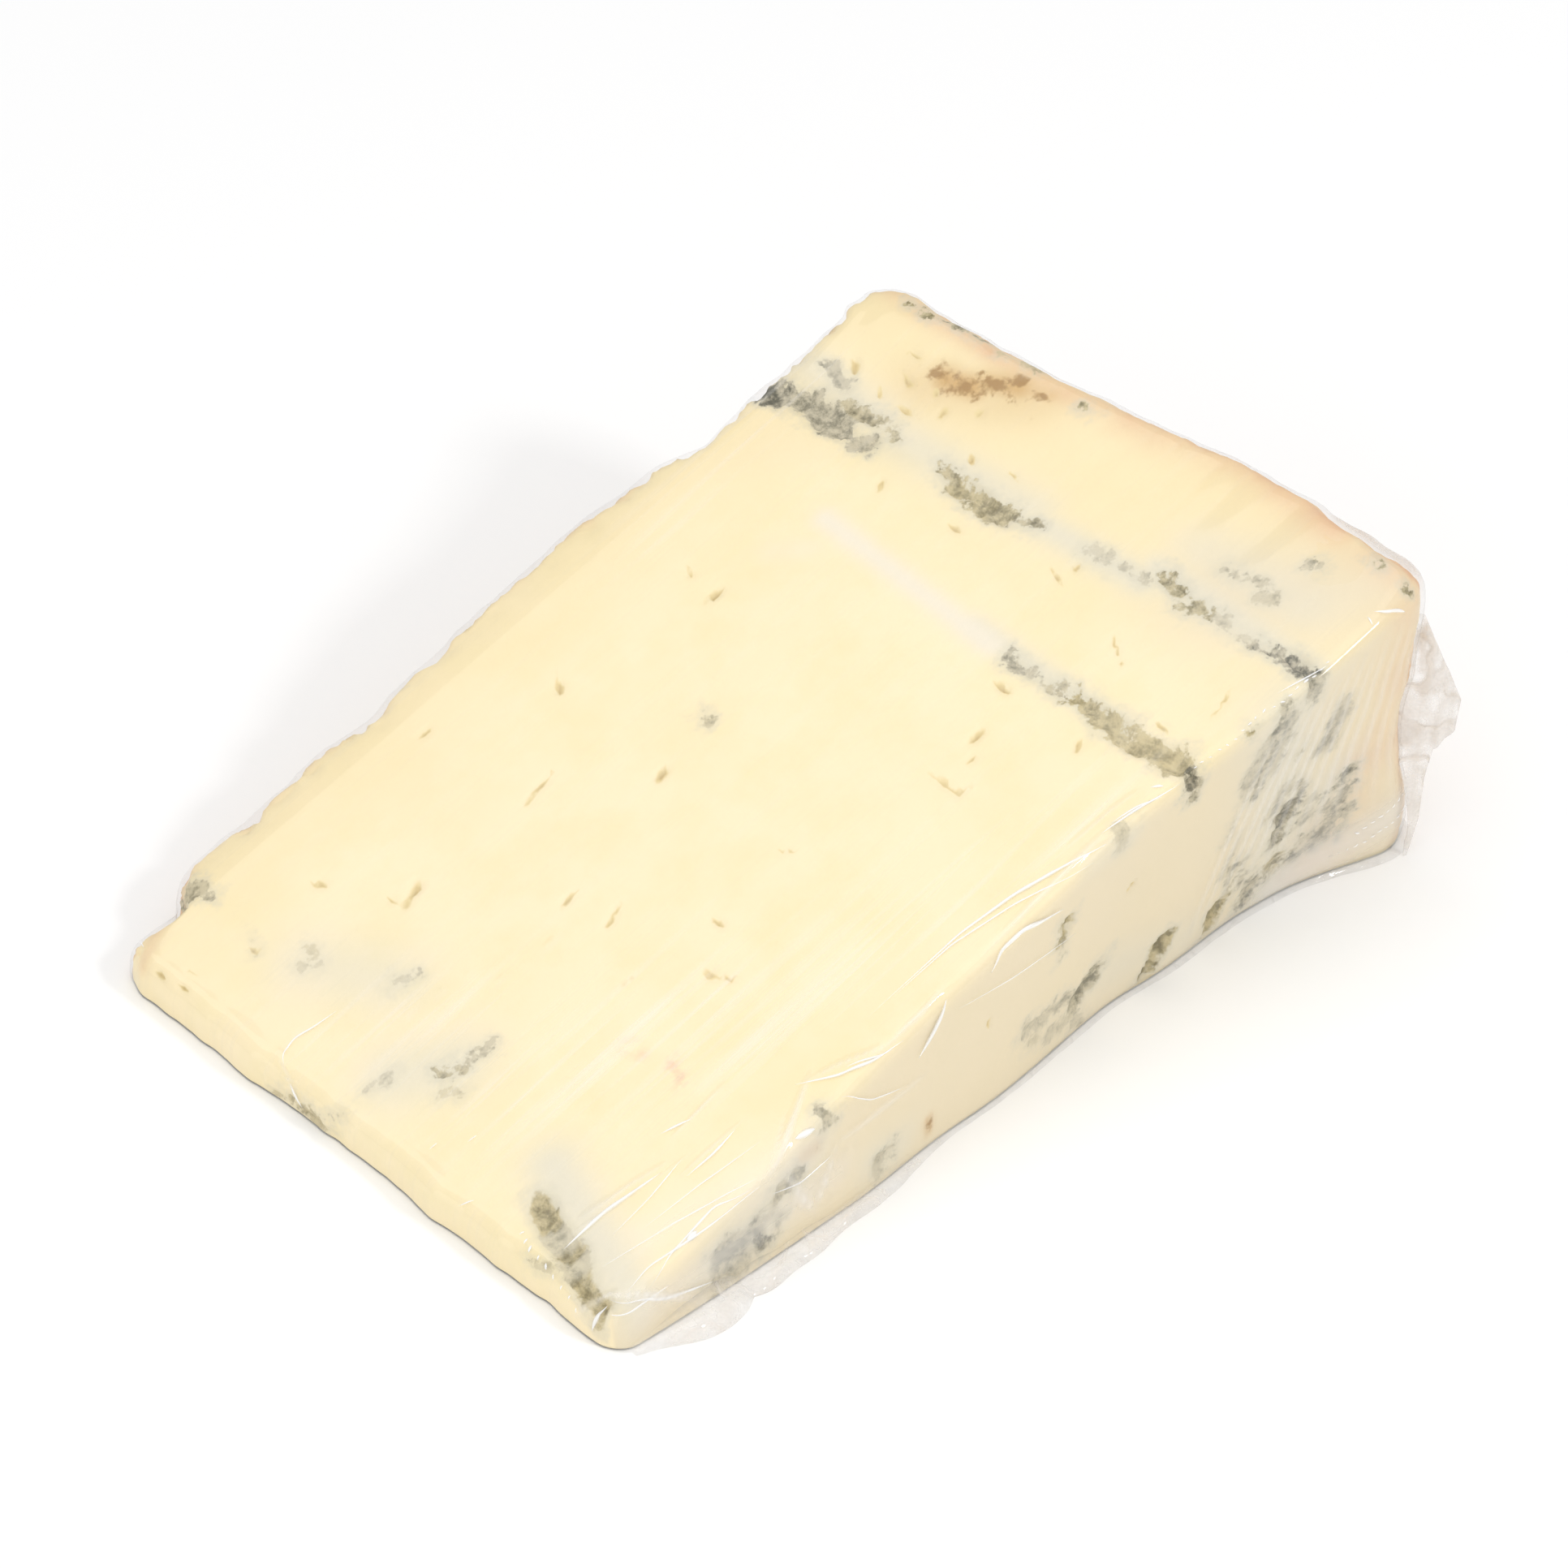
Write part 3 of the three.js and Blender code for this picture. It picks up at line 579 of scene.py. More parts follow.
# The rind closes round the edge from the flat face and the heel, thin and uneven.
from_heel = along - REACH + 3.5 + 1.6 * noise(across / 7, 4.5, 0.5) + 0.8 * noise(across / 2.2, 9.5, 0.5)
from_flat = across - HALF_DEPTH + 0.6 + 0.7 * noise(along / 6, 2.5, 0.5) + 0.4 * noise(along / 2, 1.5, 0.5)
rind = np.maximum(smooth(from_heel, -3.2, 3.5), smooth(from_flat, 0.2, 4.5))
rind = np.maximum(rind, pools_over(along, across, TINTED)) * upper

# The cream is deeper and yellower where it ripened, under the heel and under the flat rind.
ripe = np.maximum(0.9 * smooth(along, 96, REACH - 4), 0.5 * smooth(across, 26, HALF_DEPTH))
ripe = np.clip(ripe + 0.25 * noise(along / 14, across / 14, 3.5), 0, 1) * upper

grain = noise(skin[:, 0] / 1.1, skin[:, 1] / 1.1, skin[:, 2] / 1.1)
pitted = np.abs(noise(skin[:, 0] / 2.0, skin[:, 1] / 2.0, skin[:, 2] / 2.0))
sunk = mould_depth * smooth(mould + 0.25 * grain, -0.1, 1.0) * (0.8 + 0.35 * grain)
sunk = np.maximum(sunk, 0.8 * eye_depth * smooth(eye, -0.1, 0.7))
sunk += smooth(from_flat, -1.5, 1.5) * pitted + rind * (0.2 * pitted + 0.12 * (grain + 1))
places = skin - outward * (sunk * upper)[:, None]

# The middle cut is painted duller and greyer than the upper one, as painted shade on the side turned away
# from the overhead light.
# The cream by the heel's corner is duller and greyer too. The film over the middle cut is pleated, so its
# mould shows with soft edges.
veiled = smooth(-across, HALF_DEPTH - 2, HALF_DEPTH + 4) * upper
dull = np.maximum(0.8 * veiled, pools_over(along, across, DULLED)) * upper

cheese = make_piece(
    "cheese",
    places,
    faces,
    mould=np.clip(mould, -2, 2),
    dark=mould_dark,
    olive=mould_olive,
    eye=np.clip(eye, -1, 1),
    rind=rind,
    ripe=ripe,
    milky=pools_over(along, across, MILKY) * upper,
    lilac=pools_over(along, across, LILAC) * upper,
    stain=pools_over(along, across, STAINED) * upper,
    pink=pools_over(along, across, PINK) * upper,
    dull=dull,
    veiled=veiled,
    smoothed=pools_over(along, across, SMOOTHED),
)


def colour(code):
    """The linear colour of an sRGB hex value."""
    parts = [int(code[i : i + 2], 16) / 255 for i in (1, 3, 5)]
    return [c / 12.92 if c <= 0.04045 else ((c + 0.055) / 1.055) ** 2.4 for c in parts] + [1.0]


def add_node(tree, kind, sockets, out=0, **settings):
    """Adds a node with its settings, and gives its output. A socket takes a value or an output.

    Sockets go by name or number: 1 to 4 are the two ranges of a MapRange, 6 and 7 a Mix's colours.
    """
    node = tree.nodes.new("ShaderNode" + kind)
    for name, value in settings.items():
        setattr(node, name, value)
    for key, value in sockets.items():
        if isinstance(value, bpy.types.NodeSocket):
            tree.links.new(value, node.inputs[key])
        else:
            node.inputs[key].default_value = value
    return node.outputs[out] if node.outputs else None


def new_material(name):
    material = bpy.data.materials.new(name)
    material.use_nodes = True
    material.node_tree.nodes.clear()
    return material, material.node_tree


# Ripened blue-veined curd, cut with a wire: a satin, slightly see-through cream. Its blue-grey and
# olive mould is dull and granular, its eyes are honey-coloured, and its rind is a dry salmon buff.
PASTE = colour("#FBEAC1")
PASTE_DEEP = colour("#F6E6B7")
PASTE_RIPE = colour("#F4E1B1")
# also painted shade: it greys the whole middle cut, as well as the duller cream by the heel's corner
PASTE_DULL_AND_SHADE = colour("#E8D9B9")
MILK = colour("#E1DBC8")
LILAC_WHITE = colour("#F1E7D2")
HONEY = colour("#E9D49B")
HONEY_DEEP = colour("#CDB37C")
MOULD_PALE = colour("#C9C0A9")
MOULD_HALO = colour("#CFCAB6")
MOULD_DARK = colour("#5A594B")
OLIVE_PALE = colour("#CDBD8E")
OLIVE_DARK = colour("#7C6F42")
RIND_BUFF = colour("#EBCEA4")
RIND_SALMON = colour("#E4BA93")
TAN = colour("#CBA05A")
BROWN = colour("#A27A3C")
BLUSH = colour("#EBC3A6")



def read_piece(tree, fields):
    """Places on the piece in real millimetres, and its fields by name."""
    metres = add_node(tree, "TexCoord", {}, "Object")
    mm = add_node(tree, "VectorMath", {0: metres, 3: 1 / MM}, operation="SCALE")
    return mm, {
        name: add_node(tree, "Attribute", {}, "Fac", attribute_name=name) for name in fields.split()
    }


ripened_curd, tree = new_material("ripened_curd")
mm, told = read_piece(
    tree, "mould dark olive eye rind ripe milky lilac stain pink dull veiled smoothed"
)
# clouds in the cream, crumbs of curd, mould tufts and the dust of spores on them, in millimetres
clouds, crumbs, tufts, dust = [
    add_node(tree, "TexNoise", {"Vector": mm, "Scale": 0.5 / size, "Detail": detail, "Roughness": rough})
    for size, detail, rough in ((6.0, 4.0, 0.6), (1.3, 4.0, 0.6), (0.9, 5.0, 0.7), (0.35, 2.0, 0.5))
]

ruffled = add_node(tree, "MapRange", {0: told["smoothed"], 3: 1.0, 4: 0.25})
tufted = add_node(tree, "MapRange", {0: crumbs, 1: 0.3, 2: 0.7, 3: -0.8, 4: 0.8})
dusted = add_node(tree, "MapRange", {0: dust, 1: 0.3, 2: 0.7, 3: -0.25, 4: 0.25})
ragged = add_node(tree, "Math", {0: tufted, 1: dusted}, operation="ADD")
ragged = add_node(tree, "Math", {0: ragged, 1: ruffled, 2: told["mould"]}, operation="MULTIPLY_ADD")
strength = add_node(tree, "MapRange", {0: told["dark"], 1: 0.3, 2: 0.9, 3: 0.45, 4: 1.0})
edge = add_node(tree, "MapRange", {0: told["veiled"], 3: -0.02, 4: -0.25})
core = add_node(tree, "MapRange", {0: told["veiled"], 3: 0.38, 4: 0.6})
mouldy = add_node(tree, "MapRange", {0: ragged, 1: edge, 2: core}, interpolation_type="SMOOTHSTEP")
mouldy = add_node(tree, "Math", {0: mouldy, 1: strength}, operation="MULTIPLY")
blurred = add_node(
    tree, "MapRange", {0: ragged, 1: -1.3, 2: 0.3, 3: 0.0, 4: 0.55}, interpolation_type="SMOOTHSTEP"
)
blurred = add_node(tree, "Math", {0: blurred, 1: strength}, operation="MULTIPLY")
depth_of_tone = add_node(tree, "Math", {0: ragged, 1: 0.1, 2: tufts}, operation="MULTIPLY_ADD")
depth_of_tone = add_node(
    tree, "Math", {0: told["dark"], 1: 0.16, 2: depth_of_tone}, operation="MULTIPLY_ADD"
)
depth_of_tone = add_node(
    tree, "MapRange", {0: depth_of_tone, 1: 0.56, 2: 0.9}, interpolation_type="SMOOTHSTEP"
)
blue = add_node(tree, "Mix", {0: depth_of_tone, 6: MOULD_PALE, 7: MOULD_DARK}, 2, data_type="RGBA")
brown = add_node(tree, "Mix", {0: depth_of_tone, 6: OLIVE_PALE, 7: OLIVE_DARK}, 2, data_type="RGBA")
mould_colour = add_node(tree, "Mix", {0: told["olive"], 6: blue, 7: brown}, 2, data_type="RGBA")

open_eye = add_node(tree, "Math", {0: crumbs, 1: 0.5, 2: told["eye"]}, operation="MULTIPLY_ADD")
open_eye = add_node(tree, "MapRange", {0: open_eye, 1: 0.05, 2: 0.6}, interpolation_type="SMOOTHSTEP")
eye_colour = add_node(tree, "MapRange", {0: told["eye"], 1: 0.2, 2: 0.9})
eye_colour = add_node(tree, "Mix", {0: eye_colour, 6: HONEY, 7: HONEY_DEEP}, 2, data_type="RGBA")
rind_colour = add_node(tree, "MapRange", {0: clouds, 1: 0.4, 2: 0.62})
rind_colour = add_node(tree, "Mix", {0: rind_colour, 6: RIND_BUFF, 7: RIND_SALMON}, 2, data_type="RGBA")
speckled = add_node(tree, "Math", {0: tufted, 1: 0.9, 2: told["stain"]}, operation="MULTIPLY_ADD")
speckled = add_node(
    tree, "MapRange", {0: speckled, 1: 0.55, 2: 1.1, 3: 0.0, 4: 0.85}, interpolation_type="SMOOTHSTEP"
)
soaked = add_node(tree, "MapRange", {0: told["stain"], 2: 0.4})
speckled = add_node(tree, "Math", {0: speckled, 1: soaked}, operation="MULTIPLY")
stained = add_node(tree, "Math", {0: told["stain"], 1: 0.9}, operation="MULTIPLY")
blushing = add_node(tree, "MapRange", {0: crumbs, 1: 0.42, 2: 0.58})
blushing = add_node(tree, "Math", {0: blushing, 1: told["pink"]}, operation="MULTIPLY")
deep = add_node(tree, "MapRange", {0: clouds, 1: 0.4, 2: 0.66})

cream = add_node(tree, "Mix", {0: deep, 6: PASTE, 7: PASTE_DEEP}, 2, data_type="RGBA")
for share, over in (
    (told["ripe"], PASTE_RIPE),
    # the middle cut's painted shade, and duller cream
    (told["dull"], PASTE_DULL_AND_SHADE),
    (told["milky"], MILK),
    (told["lilac"], LILAC_WHITE),
    (blushing, BLUSH),
    (told["rind"], rind_colour),
    (stained, TAN),
    (speckled, BROWN),
    (open_eye, eye_colour),
    (blurred, MOULD_HALO),
    (mouldy, mould_colour),
):
    cream = add_node(tree, "Mix", {0: share, 6: cream, 7: over}, 2, data_type="RGBA")

dry = add_node(tree, "Math", {0: told["rind"], 1: mouldy}, operation="MAXIMUM")
roughness = add_node(tree, "MapRange", {0: dry, 3: 0.42, 4: 0.8})
tooth = add_node(tree, "Math", {0: dust, 1: dry, 2: crumbs}, operation="MULTIPLY_ADD")
relief = add_node(tree, "Bump", {"Strength": 0.5, "Distance": 0.2 * MM, "Height": tooth})
surface = add_node(
    tree,
    "BsdfPrincipled",
    {
        "Base Color": cream,
        "Roughness": roughness,
        "Normal": relief,
        "IOR": 1.45,
    },
)
add_node(tree, "OutputMaterial", {0: surface})
cheese.data.materials.append(ripened_curd)
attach(cheese, "root")
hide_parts("cheese_wedge")


# Cling film, drawn tight over the wedge. It bridges notches and slits, clings to the flats, and
# pulls into creases along the middle cut and into upright pleats beside the heel's corner.
FILM_OFF = 0.22
# each crease has its two ends on the unrolled skin, its width and its height
CREASES = [
    ((89.6, -45.6), (67.0, -46.6), 0.5, 0.5),
    ((96.5, -44.2), (85.4, -43.4), 0.35, 0.3),
    ((60.5, -46.4), (50.5, -46.8), 0.5, 0.55),
    ((52.1, -47.6), (40.0, -41.8), 0.45, 0.4),
    ((41.5, -41.2), (27.6, -48.3), 0.55, 0.55),
    ((35.0, -43.0), (28.7, -47.0), 0.3, 0.3),
    ((33.6, -33.4), (23.6, -33.8), 0.4, 0.35),
    ((20.9, -36.0), (8.6, -32.9), 0.4, 0.4),
    ((31.0, -39.4), (20.4, -38.8), 0.3, 0.3),
    ((24.4, -37.8), (5.6, -33.9), 0.25, 0.25),
    ((6.4, 18.2), (2.2, 17.6), 0.35, 0.35),
    ((2.2, 17.6), (-1.6, 12.2), 0.35, 0.35),
    ((40.2, 0.6), (22.6, 2.8), 0.25, 0.2),
    ((28.4, 5.4), (9.8, 9.6), 0.25, 0.2),
    ((-2.0, -41.0), (14.0, -54.4), 0.5, 0.5),
    ((30.6, -50.6), (35.2, -60.4), 0.7, 0.4),
    ((35.2, -60.4), (39.6, -53.2), 0.6, 0.35),
    ((39.6, -53.2), (56.0, -57.0), 0.6, 0.3),
]
CREASE_HIGH = 0.5
PLEATS = 15
PLEAT_SPACING = 2.1
PLEATS_BEFORE_HEEL = 30
PLEAT_LENGTH = 32
PLEAT_FAN = 0.24
# loose film over the mould at the tip's corner
AIR_POCKET = ((9.0, -38.0), (12.0, -47.0), 5.5, 0.35)
# where it is drawn into fine white lines, and where it lies double or stands off in a pocket
DRAWN = [
    ((16.0, -12.0), (40.0, -22.0), 9.0, 1.0),
    ((40.0, -30.0), (88.0, -40.0), 8.0, 0.9),
    ((6.0, 16.0), (26.0, -2.0), 6.0, 0.8),
    ((90.0, 40.0), (125.0, 46.0), 5.0, 0.5),
]
DOUBLED = [
    ((150.0, -31.0), (151.5, -41.0), 3.4, 0.5),
    ((12.0, -42.0), (34.0, -50.0), 4.0, 0.28),
    ((6.0, -49.0), (40.0, -58.0), 3.0, 0.3),
    ((126.0, -91.0), (147.0, -91.0), 4.5, 0.5),
    ((110.0, -88.0), (124.0, -91.0), 2.0, 0.3),
]


def pleats():
    """Upright pleats that fan out down the middle cut, as creases on the unrolled skin."""
    lines = []
    for k in range(PLEATS):
        x = REACH - PLEATS_BEFORE_HEEL + PLEAT_SPACING * k + 0.8 * float(noise(k + 0.5, 3.5, 0.5))
        start = -HALF_DEPTH - 3.5 - 5 * abs(float(noise(k + 0.5, 8.5, 0.5)))
        lean = PLEAT_FAN * (x - REACH + 4) - 1.5
        lines.append(((x, start), (x + lean, start - PLEAT_LENGTH), 0.7, 0.3))
    return lines


def creases_over(along, across, creases):
    """Height of the creases over the film: thin ridges that die away at both ends."""
    height = np.zeros(along.shape)
    waver = 0.35 * noise(along / 4, across / 4, 12.5)
    for first, last, wide, high in creases:
        share, away = from_stroke(along, across, first, last, (0.0, waver))
        ridge = np.clip(1 - away / (1.5 * wide), 0, 1) ** 1.4
        height = np.maximum(height, high * ridge * np.sin(math.pi * np.clip(share, 0.02, 0.98)) ** 0.6)
    return height


film_shares, film_quads = box_grid(
    [
        lines_along(REACH, 1.0, (0, 3, 0.4), (110, 141, 0.5), (143, REACH, 0.4)),
        lines_along(2 * HALF_DEPTH, 1.0, (0, 16, 0.3), (92, 95, 0.4)),
        lines_along(0.8 * cut_height(REACH), 1.0, (0, 2, 0.5), (38, 42, 0.4)),
    ]
)
shallower = [(at, 0.55 * deep, wide) for at, deep, wide in RIND_NOTCHES]
film_skin, film_out = wedge_skin(*film_shares, notches=shallower, hollow=0.2)
along, across = unrolled(*film_shares)
crease = creases_over(along, across, CREASES + pleats()) * (film_shares[2] > 0)
slack = 0.25 * np.abs(noise(along / 3.1, across / 5.2, 15.5)) * smooth(along, REACH - 4, REACH + 6)
slack += 0.3 * smooth(across, HALF_DEPTH, HALF_DEPTH + 3) * np.abs(noise(along / 2.4, across / 6, 6.5))
slack += pools_over(along, across, [AIR_POCKET]) * (film_shares[2] > 0)
film_places = film_skin + film_out * (FILM_OFF + crease + slack)[:, None]
film_places[:, 2] = np.maximum(film_places[:, 2], 0.03)
film_wrap = make_piece(
    "film_wrap",
    film_places,
    flat_bottom(film_shares, film_quads),
    crease=crease / CREASE_HIGH,
    drawn=pools_over(along, across, DRAWN) * (film_shares[2] > 0),
    doubled=pools_over(along, across, DOUBLED) * (film_shares[2] > 0),
)

# Stretched polyethylene film: clear, with a mirror-like gloss that flashes on every crease. A
# faint white haze shows where it is drawn into lines or lies double, and a whiter one along each crease is
# partly a painted highlight.
taut_film, tree = new_material("stretched_polyethylene_film")
mm, told = read_piece(tree, "crease drawn doubled")
# lines of tension run along the reach: 25 mm long and 0.8 mm apart
drawn = add_node(tree, "Mapping", {"Vector": mm, "Rotation": (0, 0, 0.06), "Scale": (0.04, 1.25, 0.04)})
lines = add_node(tree, "TexNoise", {"Vector": drawn, "Scale": 0.5, "Detail": 3.0})
lines = add_node(tree, "MapRange", {0: lines, 1: 0.5, 2: 0.72, 3: 0.0, 4: 0.5})
taut = add_node(tree, "MapRange", {0: told["drawn"], 3: 0.1, 4: 1.0})
haze = add_node(tree, "Math", {0: lines, 1: taut, 2: told["doubled"]}, operation="MULTIPLY_ADD")
# along the creases the haze rises: partly the film's own whitening, partly a painted highlight
haze = add_node(
    tree, "Math", {0: told["crease"], 1: 0.5, 2: haze}, operation="MULTIPLY_ADD", use_clamp=True
)
milky = add_node(tree, "BsdfDiffuse", {"Color": colour("#F4F2EE")})


def finish_film(tree, haze, milky, least, most):
    """Clear film, with haze's share of a milky surface and a gloss from least to most at the edge."""
    clear = add_node(tree, "BsdfTransparent", {})
    veil = add_node(tree, "MixShader", {0: haze, 1: clear, 2: milky})
    gloss = add_node(tree, "BsdfGlossy", {"Roughness": 0.06})
    grazing = add_node(tree, "LayerWeight", {"Blend": 0.5}, "Facing")
    grazing = add_node(tree, "Math", {0: grazing, 1: 4.0}, operation="POWER")
    shine = add_node(tree, "MapRange", {0: grazing, 3: least, 4: most})
    add_node(tree, "OutputMaterial", {0: add_node(tree, "MixShader", {0: shine, 1: veil, 2: gloss})})


finish_film(tree, haze, milky, 0.05, 0.4)
film_wrap.data.materials.append(taut_film)
# clear film passes the light on to the cheese and the floor, so it throws no shadow
film_wrap.visible_shadow = False
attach(film_wrap, "root")
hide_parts("cling_film")


# Where the wrap was drawn hardest it stands up in fine ridges that catch the light: long ones over
# the upper edge of the middle cut, a fan of them beside the tip, and short ones down the tip's edge.
# Each has its path on the unrolled skin, its width, height, and a number over 1 if widest late.
RIDGES = [
    (
        [(48.7, -41.5), (59.1, -41.8), (67.3, -41.9), (75.7, -43.2), (83.3, -45.4), (88.6, -47.0)],
        0.75,
        0.3,
        2.2,
    ),
    ([(55.5, -42.0), (65.4, -42.3), (74.6, -44.3), (86.0, -48.2)], 0.4, 0.2, 1.0),
    ([(67.6, -50.3), (69.3, -48.3), (73.4, -48.3), (80.6, -51.2)], 0.9, 0.25, 0.8),
    ([(38.8, -41.1), (43.1, -44.8), (47.4, -46.7), (52.3, -48.1)], 0.6, 0.25, 1.0),
    ([(54.8, -53.2), (57.4, -51.0), (59.9, -48.1)], 1.1, 0.3, 1.0),
    ([(41.3, -47.3), (46.0, -52.0), (51.9, -55.4)], 0.3, 0.2, 1.0),
    ([(33.4, -46.7), (36.3, -48.1)], 1.6, 0.25, 1.0),
    ([(44.5, -44.6), (50.4, -47.9)], 0.4, 0.2, 1.0),
    ([(91.1, -45.3), (95.1, -46.0), (98.5, -47.4)], 0.4, 0.2, 1.0),
    ([(89.1, -45.4), (95.0, -46.3), (101.4, -47.7)], 0.5, 0.25, 1.0),
    ([(98.1, -45.1), (99.3, -46.1)], 0.6, 0.2, 1.0),
    ([(118.7, -45.2), (125.8, -46.7)], 0.35, 0.2, 1.0),
    ([(135.0, -45.5), (139.0, -49.8)], 0.8, 0.25, 1.0),
    ([(133.6, -46.8), (133.9, -45.4)], 0.4, 0.2, 1.0),
    ([(4.0, -34.7), (11.0, -34.8), (19.4, -36.3)], 0.8, 0.25, 1.0),
    ([(21.1, -39.4), (25.4, -39.8), (29.6, -39.5)], 0.5, 0.2, 1.0),
    ([(23.4, -32.1), (27.3, -33.7)], 0.5, 0.2, 1.0),
    ([(5.3, -40.7), (15.2, -43.2), (26.5, -46.8)], 0.35, 0.2, 1.0),
    ([(5.0, -45.8), (8.8, -45.4), (16.5, -46.7), (26.4, -48.4)], 0.5, 0.25, 1.0),
    ([(14.5, -46.3), (16.4, -46.2)], 1.1, 0.2, 1.0),
    ([(7.5, -47.7), (11.8, -46.1), (20.0, -45.5), (25.8, -47.9)], 0.4, 0.25, 1.0),
    ([(1.9, -45.6), (9.2, -50.7), (17.0, -54.6)], 0.5, 0.25, 1.0),
    ([(-2.3, -43.8), (1.1, -45.8)], 0.7, 0.2, 1.0),
    ([(11.1, 16.8), (7.6, 17.3), (4.8, 18.1), (2.3, 17.5), (1.2, 16.1)], 0.45, 0.25, 1.0),
    ([(-0.7, 13.9), (-2.6, 11.2)], 0.5, 0.2, 1.0),
    ([(0.4, -18.7), (2.1, -20.0)], 0.35, 0.2, 1.0),
    ([(3.8, -9.3), (5.2, -9.4)], 0.3, 0.2, 1.0),
    ([(7.8, -12.6), (9.2, -12.8)], 0.3, 0.2, 1.0),
    ([(1.3, 46.1), (2.8, 47.0)], 0.4, 0.2, 1.0),
    ([(9.4, -38.2), (16.0, -37.9), (22.6, -37.0)], 0.3, 0.15, 1.0),
    ([(12.6, -40.6), (20.8, -41.6), (30.2, -43.4)], 0.3, 0.15, 1.0),
    ([(-0.4, -47.5), (4.0, -48.5), (10.0, -49.4)], 0.4, 0.2, 1.0),
    ([(28.0, -51.0), (33.0, -53.6), (38.8, -54.4)], 0.35, 0.2, 1.0),
    ([(62.0, -51.4), (72.0, -55.0), (84.0, -58.6)], 0.25, 0.15, 1.0),
]
# across a ridge: sideways in half widths, and height in shares of its own
RIDGE_SECTION = [(-1.0, -0.1), (-0.55, 0.6), (0.0, 1.0), (0.55, 0.6), (1.0, -0.1)]


def laid(along, across):
    """Places on the skin, and outward directions, for places on the unrolled skin."""
    s = np.clip(along / REACH, 0, 1)
    t = np.clip(across / (2 * HALF_DEPTH) + 0.5, 0, 1)
    down = np.abs(along - s * REACH) + np.clip(np.abs(across) - HALF_DEPTH, 0, None)
    return wedge_skin(s, t, np.clip(1 - down / cut_height(s * REACH), 0.06, 1), hollow=0.2)


def ridge(path, wide, high, late):
    """Rings of places for one ridge that dies away at both ends, and how high each place is in it."""
    path = np.array(path)
    ways = np.concatenate([[0], np.cumsum(np.hypot(*np.diff(path, axis=0).T))])
    stations = np.linspace(0, ways[-1], max(7, round(ways[-1] / 0.4)))
    line = np.stack([np.interp(stations, ways, path[:, k]) for k in (0, 1)], -1)
    for _ in range(4):
        line[1:-1] = 0.5 * line[1:-1] + 0.25 * (line[:-2] + line[2:])
    ahead = np.gradient(line, axis=0)
    ahead /= np.linalg.norm(ahead, axis=1, keepdims=True)
    beside = np.stack([-ahead[:, 1], ahead[:, 0]], -1)
    swell = np.sin(math.pi * np.clip(stations / ways[-1], 0.02, 0.98) ** late) ** 0.8
    swell *= 1 + 0.3 * noise(stations / 1.7, wide, 0.5)
    rings = []
    for sideways, lift in RIDGE_SECTION:
        spot = line + beside * (0.5 * wide * sideways * swell)[:, None]
        place, out = laid(spot[:, 0], spot[:, 1])
        rings.append(place + out * (FILM_OFF + lift * high * swell)[:, None])
    return np.stack(rings, 1), np.tile([max(lift, 0) for _, lift in RIDGE_SECTION], (stations.size, 1))


def sparkles(first, last, spacing, seed):
    """Short ridges scattered along a line on the unrolled skin."""
    (x0, y0), (x1, y1) = first, last
    found = []
    for k in range(round(math.hypot(x1 - x0, y1 - y0) / spacing)):
        share = (k + 0.5) * spacing / math.hypot(x1 - x0, y1 - y0)
        size = 0.35 + 0.5 * abs(float(noise(k + 0.5, seed, 0.5)))
        x = x0 + share * (x1 - x0) + 0.5 * spacing * float(noise(k + 0.5, seed, 4.5))
        y = y0 + share * (y1 - y0) + 0.8 * float(noise(k + 0.5, seed, 8.5))
        turn = 2 * float(noise(k + 0.5, seed, 12.5))
        end = (x + 1.6 * size * math.cos(turn), y + 1.6 * size * math.sin(turn))
        found.append(([(x, y), end], size, 0.2, 1.0))
    return found


ridge_places, ridge_faces, ridge_lift = [], [], []
# short ridges along the edges, whose white crests are painted glints
glints = []
for line in (
    ((103.0, -46.8), (127.0, -46.2), 1.3, 2.5),
    ((2.4, -28.0), (-2.0, -42.0), 1.6, 5.5),
    ((136.0, -90.0), (150.0, -88.0), 1.0, 6.5),
    ((133.0, -93.0), (149.0, -92.0), 1.0, 9.5),
):
    glints += sparkles(*line)
for path, wide, high, late in RIDGES + glints:
    places, lift = ridge(path, wide, high, late)
    first = sum(p.shape[0] * p.shape[1] for p in ridge_places)
    number = first + np.arange(places.shape[0] * places.shape[1]).reshape(places.shape[:2])
    after = np.roll(number, -1, 1)
    for here, there, here_after, there_after in zip(number[:-1], number[1:], after[:-1], after[1:]):
        ridge_faces += np.stack([here, there, there_after, here_after], -1).tolist()
    ridge_faces += [number[0].tolist(), number[-1, ::-1].tolist()]
    ridge_places.append(places)
    ridge_lift.append(lift.ravel())
film_ridges = make_piece(
    "film_ridges",
    np.concatenate([p.reshape(-1, 3) for p in ridge_places]),
    ridge_faces,
    lift=np.concatenate(ridge_lift),
)

# The same clear film, white along the crest of each ridge: partly the whitening of film drawn hard, partly
# a painted highlight for the flash of light on the crest.
ridge_film_and_painted_highlight, tree = new_material("drawn_film_and_painted_highlight")
lift = add_node(tree, "Attribute", {}, "Fac", attribute_name="lift")
haze = add_node(
    tree, "MapRange", {0: lift, 1: 0.0, 2: 0.9, 3: 0.0, 4: 0.85}, interpolation_type="SMOOTHSTEP"
)
clear = add_node(tree, "BsdfTransparent", {})
# the white of the crest is partly a painted highlight
white = add_node(tree, "BsdfDiffuse", {"Color": colour("#FFFFFF")})
gloss = add_node(tree, "BsdfGlossy", {"Roughness": 0.2})
white = add_node(tree, "MixShader", {0: 0.2, 1: white, 2: gloss})
add_node(tree, "OutputMaterial", {0: add_node(tree, "MixShader", {0: haze, 1: clear, 2: white})})
film_ridges.data.materials.append(ridge_film_and_painted_highlight)
